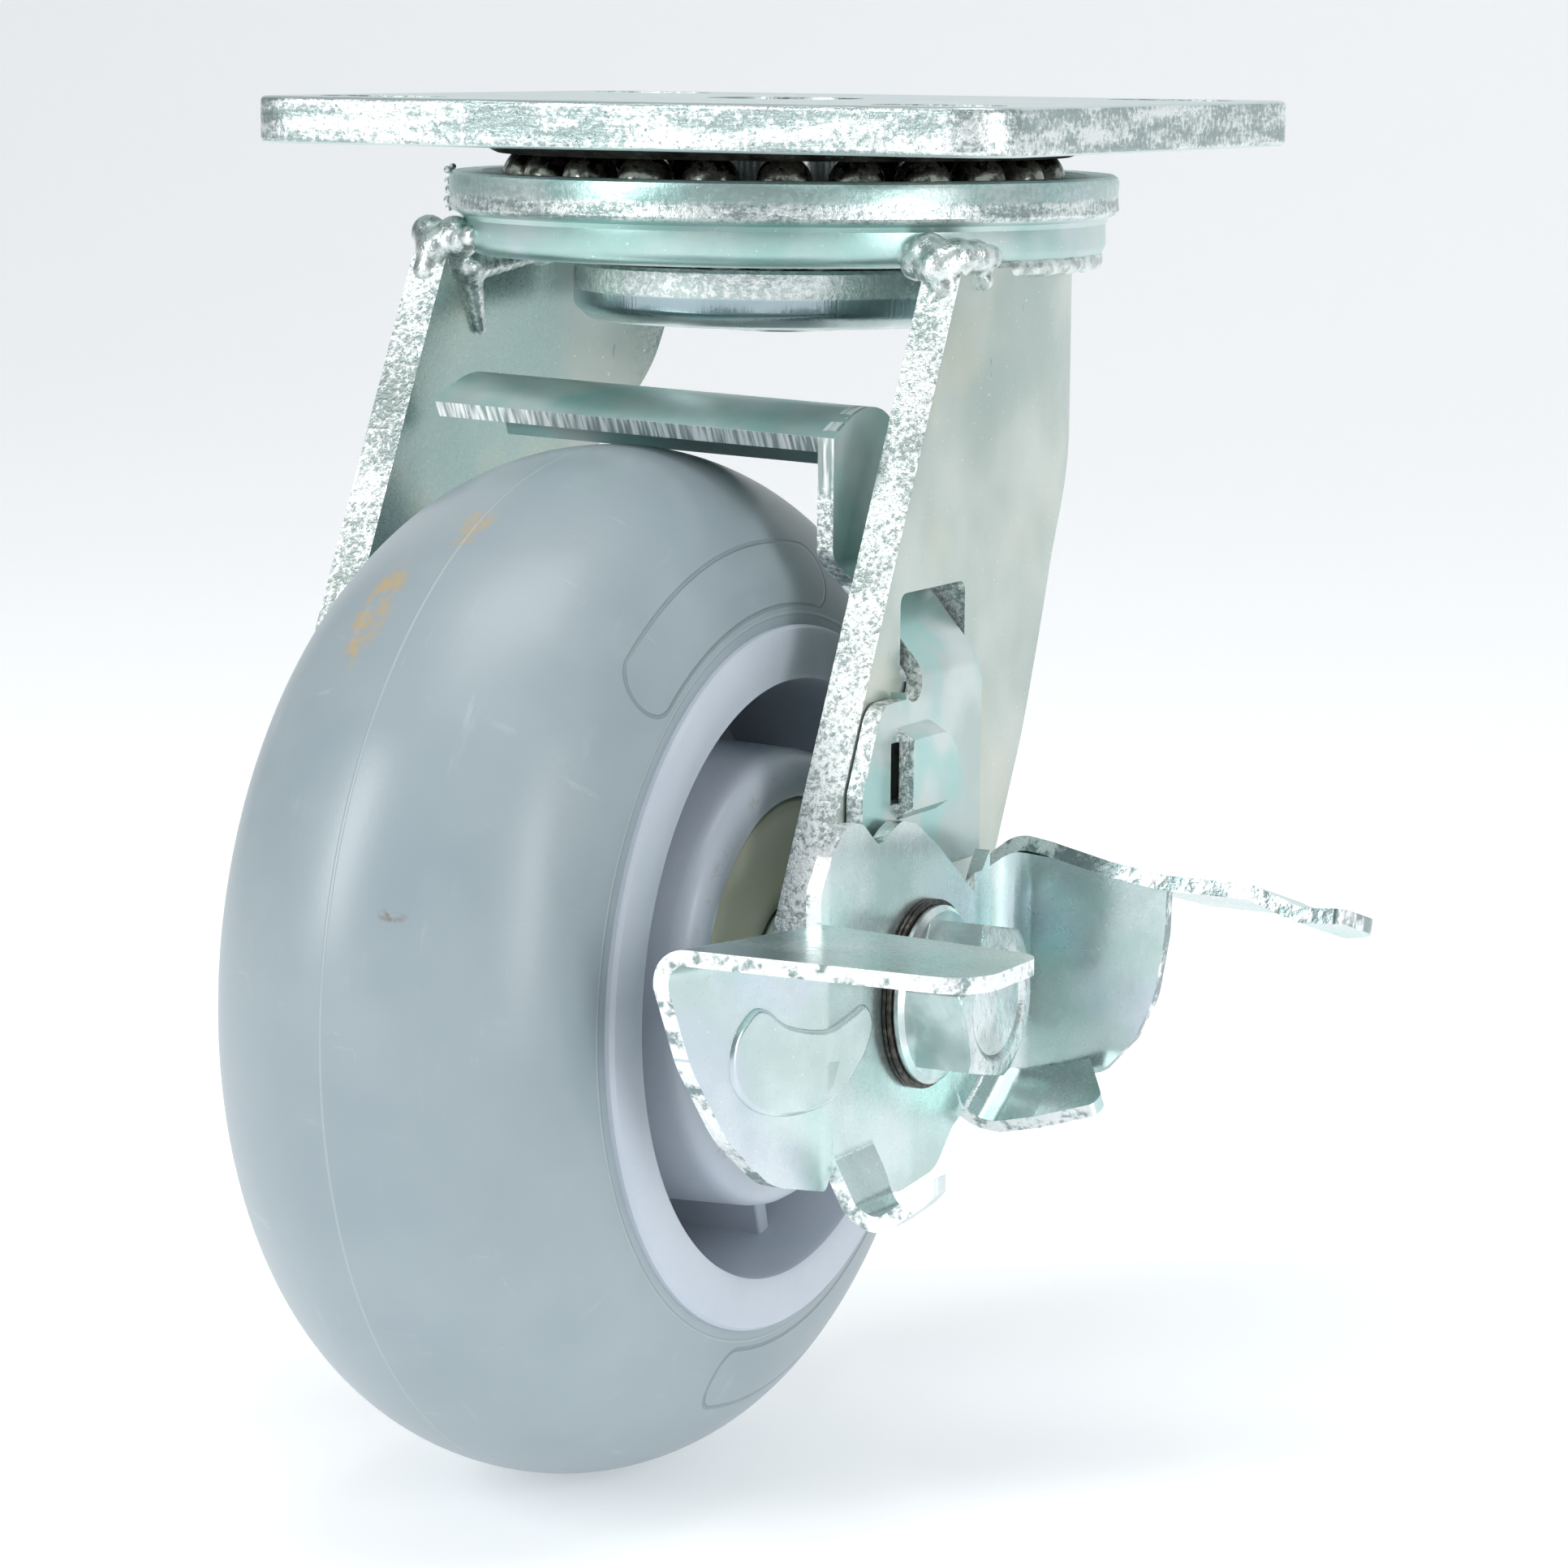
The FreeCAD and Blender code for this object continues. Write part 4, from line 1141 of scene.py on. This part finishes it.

# %% [markdown]
# ## Brake lever
# The lever is a rocker stamped from two-millimetre sheet. Its side plate carries two cam lobes,
# its front wing flares inwards under a flat foot shelf, and at the back a wall folds outwards
# under a wavy pedal. Each fold is drawn as a bent strip seen along the fold, trimmed to its
# outline and united with the next. The crescent that stiffens the wing is pressed in.

# %% Side plate, wing and rear wall in one bent sheet
def from_axle(points):
    return [(axle_y + dy, axle_z + dz) for dy, dz in points]


lever_mid = lever_in + lever_thick / 2
plan = [(38.4, -55.0), (lever_mid, -27.5), (lever_mid, 23.0), (72.0, 24.0)]
plan = [(x, axle_y + dy) for x, dy in plan]
body = bent_strip("brake_lever_stamped", plan, lever_thick, axle_z - 26, axle_z + 28, 6.5, "Z", 10)
cam_line = [(-28.4, 9.0), (-28.7, 17.6), (-26.4, 21.8), (-22.4, 24.9), (-18.0, 24.8), (-14.6, 22.2),
            (-12.6, 20.9), (-9.4, 22.6), (-6.6, 23.5), (-2.4, 22.5), (4.3, 18.6), (15.9, 10.4),
            (19.0, 16.0), (19.0, -15.4), (9.5, -19.6), (4.5, -24.2), (-8.0, -25.2), (-14.0, -19.4),
            (-25.6, -18.4), (-27.2, -20.6), (-36.6, -18.4), (-44.0, -11.6), (-50.2, -1.4), (-54.0, 9.0)]
cam_radii = [0, 6, 3, 4, 4, 3, 2, 3, 3, 4, 14, 1.4, 0, 0, 4, 6, 6, 2, 2, 1, 9, 18, 18, 0]
trim = sheet("cam_trim", round_outline(from_axle(cam_line), cam_radii, 8), 30.0, 52.6, "X")
wall_line = [(46.0, -16.6), (53.0, -15.8), (63.2, -13.0), (67.6, -8.2), (70.2, -2.6), (71.6, 6.0),
             (71.8, 13.6), (50.0, 15.6), (46.0, 12.0)]
wall_line = [(x, axle_z + dz) for x, dz in wall_line]
wall = sheet("wall_trim", round_outline(wall_line, [0, 0, 0.6, 6, 12, 8, 0, 3, 0], 8), axle_y + 15.4, axle_y + 30.0, "Y")
cut(trim, wall, "UNION")
cut(body, trim, "INTERSECT")
cut(body, rod("lever_hole", 6.7, 40, 60), "DIFFERENCE")
report(body)

# %% Foot shelf, pedal, lower lip and hooked tab
shelf_path = [(0.0, 4.0), (0.0, 13.0), (46.0, 13.0)]
shelf = bent_strip("shelf", shelf_path, lever_thick, -32.0, 8.0, 3.2, "Y", 10)
shelf.data.transform(Matrix.Translation(Vector((lever_mid, axle_y - 27.5, axle_z)) * mm)
                     @ Matrix.Rotation(math.radians(-16.6), 4, "Z"))
shelf_plan = [(34.0, -54.0), (80.6, -54.0), (80.6, -35.6), (50.0, -31.0), (34.0, -27.5)]
shelf_plan = [(x, axle_y + dy) for x, dy in shelf_plan]
cut(shelf, sheet("plan_trim", round_outline(shelf_plan, [0, 6, 4, 2, 0], 8), axle_z - 9, axle_z + 20, "Z"), "INTERSECT")
shelf_side = from_axle([(-54.2, 14.5), (-54.0, 9.0), (-51.8, 3.0), (-20.0, 3.0), (-20.0, 14.5)])
cut(shelf, sheet("side_trim", shelf_side, 30, 90, "X"), "INTERSECT")

pedal_path = [(46.5, 10.4), (46.8, 13.8), (50.6, 17.0), (55.0, 16.3), (64.1, 14.3), (72.0, 13.2),
              (84.0, 13.1), (91.0, 10.7), (97.2, 11.1)]
pedal_path = [(x, axle_z + dz) for x, dz in pedal_path]
pedal = bent_strip("pedal", pedal_path, lever_thick, axle_y + 22.6, axle_y + 40.0, 4.0, "Y", 8)
pedal_line = [(45.4, 22.4), (97.2, 22.4), (97.2, 40.2), (45.6, 38.5)]
pedal_line = [(x, axle_y + dy) for x, dy in pedal_line]
corners = sheet("pedal_trim", round_outline(pedal_line, [0.0, 2.5, 8.0, 5.0], 8), axle_z, axle_z + 30, "Z")
cut(pedal, corners, "INTERSECT")
hinge = Vector((48.4, axle_y + 22.4, axle_z + 16.9)) * mm
pedal.data.transform(Matrix.Translation(hinge) @ Matrix.Rotation(math.radians(-16), 4, "X")
                     @ Matrix.Translation(-hinge))

lip_path = [(46.6, -12.0), (46.8, -17.2), (49.2, -19.6), (52.0, -20.0), (58.2, -18.2), (68.9, -13.9)]
lip_path = [(x, axle_z + dz) for x, dz in lip_path]
lip = bent_strip("lower_lip", lip_path, lever_thick, axle_y + 14.0, axle_y + 24.0, 3.0, "Y", 8)
lip_plan = [(44.0, 13.9), (69.0, 13.9), (62.6, 24.1), (44.0, 24.1)]
lip_plan = [(x, axle_y + dy) for x, dy in lip_plan]
cut(lip, sheet("lip_trim", round_outline(lip_plan, [0, 1.5, 1, 0], 6), axle_z - 30, axle_z, "Z"), "INTERSECT")
hinge = Vector((46.6, axle_y + 14.0, axle_z - 20.0)) * mm
lip.data.transform(Matrix.Translation(hinge) @ Matrix.Rotation(math.radians(33), 4, "X")
                   @ Matrix.Translation(-hinge))
tab_path = [(46.6, -12.0), (46.8, -16.8), (50.2, -23.2), (53.8, -25.0), (59.6, -20.8), (61.4, -19.0), (63.6, -17.9)]
tab_path = [(x, axle_z + dz) for x, dz in tab_path]
tab = bent_strip("hooked_tab", tab_path, lever_thick, axle_y - 25.4, axle_y - 14.6, 3.2, "Y", 8)
tab_plan = [(44.0, -25.5), (62.2, -25.5), (62.2, -22.6), (55.0, -19.6), (50.0, -14.5), (44.0, -14.5)]
tab_plan = [(x, axle_y + dy) for x, dy in tab_plan]
cut(tab, sheet("tab_trim", round_outline(tab_plan, [0, 1, 1, 5, 3, 0], 6), axle_z - 30, axle_z, "Z"), "INTERSECT")
for part in (shelf, pedal, lip, tab):
    report(part)
    cut(body, part, "UNION")
tidy(body, 30)


flag_rim(body, 2.5)
soften(body, 0.32, 3, 32)
report(body)


# %% The crescent pressed into the wing
def smooth_loop(points, steps=6):
    """A closed flowing line through the points."""
    out = []
    n = len(points)
    for i in range(n):
        p = [Vector(points[(i + k) % n]) for k in (-1, 0, 1, 2)]
        for k in range(steps):
            t = k / steps
            out.append(0.5 * (2 * p[1] + (p[2] - p[0]) * t + (2 * p[0] - 5 * p[1] + 4 * p[2] - p[3]) * t * t
                              + (3 * p[1] - p[0] - 3 * p[2] + p[3]) * t ** 3))
    return out


def on_wing(y):
    """How far in the wing's outer face has bent at a place along Y, in mm."""
    dy = y - axle_y
    start, slope = -25.4, 0.298
    if dy > start:
        return 0.0
    bend = min((start - dy) / 4.2, 1.0)
    return slope * (2.1 * bend * bend if bend < 1.0 else start - 2.1 - dy)


def crescent():
    """A moon drawn on the wing, raised half a millimetre and softened to nothing."""
    line = [(-40.6, 4.2), (-43.6, 0.6), (-43.4, -4.6), (-39.6, -8.4), (-33.2, -9.9), (-25.6, -9.0),
            (-18.4, -5.6), (-15.4, -1.6), (-17.2, 1.5), (-21.5, 0.9), (-27.9, 0.2), (-34.3, 1.7), (-38.0, 4.2)]
    moon = sheet("moon", smooth_loop(from_axle(line), 5), -0.6, 0.6, "X")
    only(moon)
    mod = moon.modifiers.new("soft", "BEVEL")
    mod.width, mod.segments, mod.limit_method = 0.95 * mm, 6, "ANGLE"
    bpy.ops.object.modifier_apply(modifier=mod.name)
    for v in moon.data.vertices:
        v.co.x += (lever_in + lever_thick - on_wing(v.co.y / mm)) * mm
    bpy.ops.object.shade_smooth_by_angle(angle=math.radians(60))
    moon.data.attributes.new("rim", "FLOAT", "FACE")
    return moon


moon = crescent()
lever = join(body, moon)
lever.name = "brake_lever_stamped"


# %% The lever's zinc, a little brighter and more tinted than the fork's
def lever_zinc():
    b = Board("zinc_lever")
    rim = flagged(b)
    cloud = b.noise(0.055, 3.0, 0.55, shift=5.0)
    sugar = b.noise(1.2, 3.0, 0.75, shift=17.0)
    fine = b.noise(0.9, 4.0, 0.6, shift=7.0)
    colour = b.mix(b.band(cloud, 0.34, 0.66), (0.50, 0.62, 0.60), (0.72, 0.80, 0.80))
    cyan = b.band(b.noise(0.05, 2.0, 0.5, shift=66.0), 0.47, 0.70)
    colour = b.mix(cyan * 0.35, colour, (0.42, 0.76, 0.72))
    violet = b.band(b.noise(0.05, 2.0, 0.5, shift=37.0), 0.50, 0.70)
    colour = b.mix(violet * 0.35, colour, (0.66, 0.64, 0.84))
    smear = b.noise(0.30, 3.0, 0.6, shift=21.0)
    x = b.parts(b.place)[0]
    level = smear * 0.7 + sugar * 0.3 - b.band(x, 49.0, 60.0) * b.band(b.parts(b.place)[1], -40.0, -34.0) * 0.10
    cut_face = b.mix(b.band(level, 0.38, 0.50), (0.20, 0.27, 0.27), (0.97, 0.99, 0.98))
    colour = b.mix(rim * 0.85, colour, cut_face)
    specks = b.noise(1.6, 2.0, 0.7, shift=11.0)
    colour = b.mix(b.band(specks, 0.70, 0.75) * 0.6, colour, (0.98, 0.99, 0.99))
    colour = b.mix(b.band(specks, 0.28, 0.23) * 0.4, colour, (0.26, 0.33, 0.33))
    height = rim * (sugar - 0.5) * 0.07 + (fine - 0.5) * 0.014 + (cloud - 0.5) * 0.25 + rim * (smear - 0.5) * 0.2
    rough = 0.27 + (fine - 0.5) * 0.14 + (cloud - 0.5) * 0.15
    b.finish(colour=colour, rough=rough, metal=0.86, normal=b.bump(height, 1.0))
    return b.material


dress(lever, lever_zinc(), "brake_lever", "zinc_sheet", "brake_lever")

# %% [markdown]
# ## Hidden pieces
# The kingpin, the rollers and their cage can hardly be seen, so their measured solids stay as
# they are and only get a finish.

# %% Finishes for the pieces that stay
def dark_cage():
    b = Board("cage_plastic")
    fine = b.noise(0.7, 3.0, 0.6)
    colour = b.mix(fine, (0.030, 0.031, 0.033), (0.075, 0.077, 0.080))
    b.finish(colour=colour, rough=fine * 0.2 + 0.4, metal=0.0, normal=b.bump(fine, 0.04))
    return b.material


stays = {"kingpin": forged, "bearing_rollers": ball_steel, "roller_cage": dark_cage()}
for node, material in stays.items():
    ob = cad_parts[node]
    ob.data.materials.clear()
    ob.data.materials.append(material)
    print(node, "keeps its measured shape")
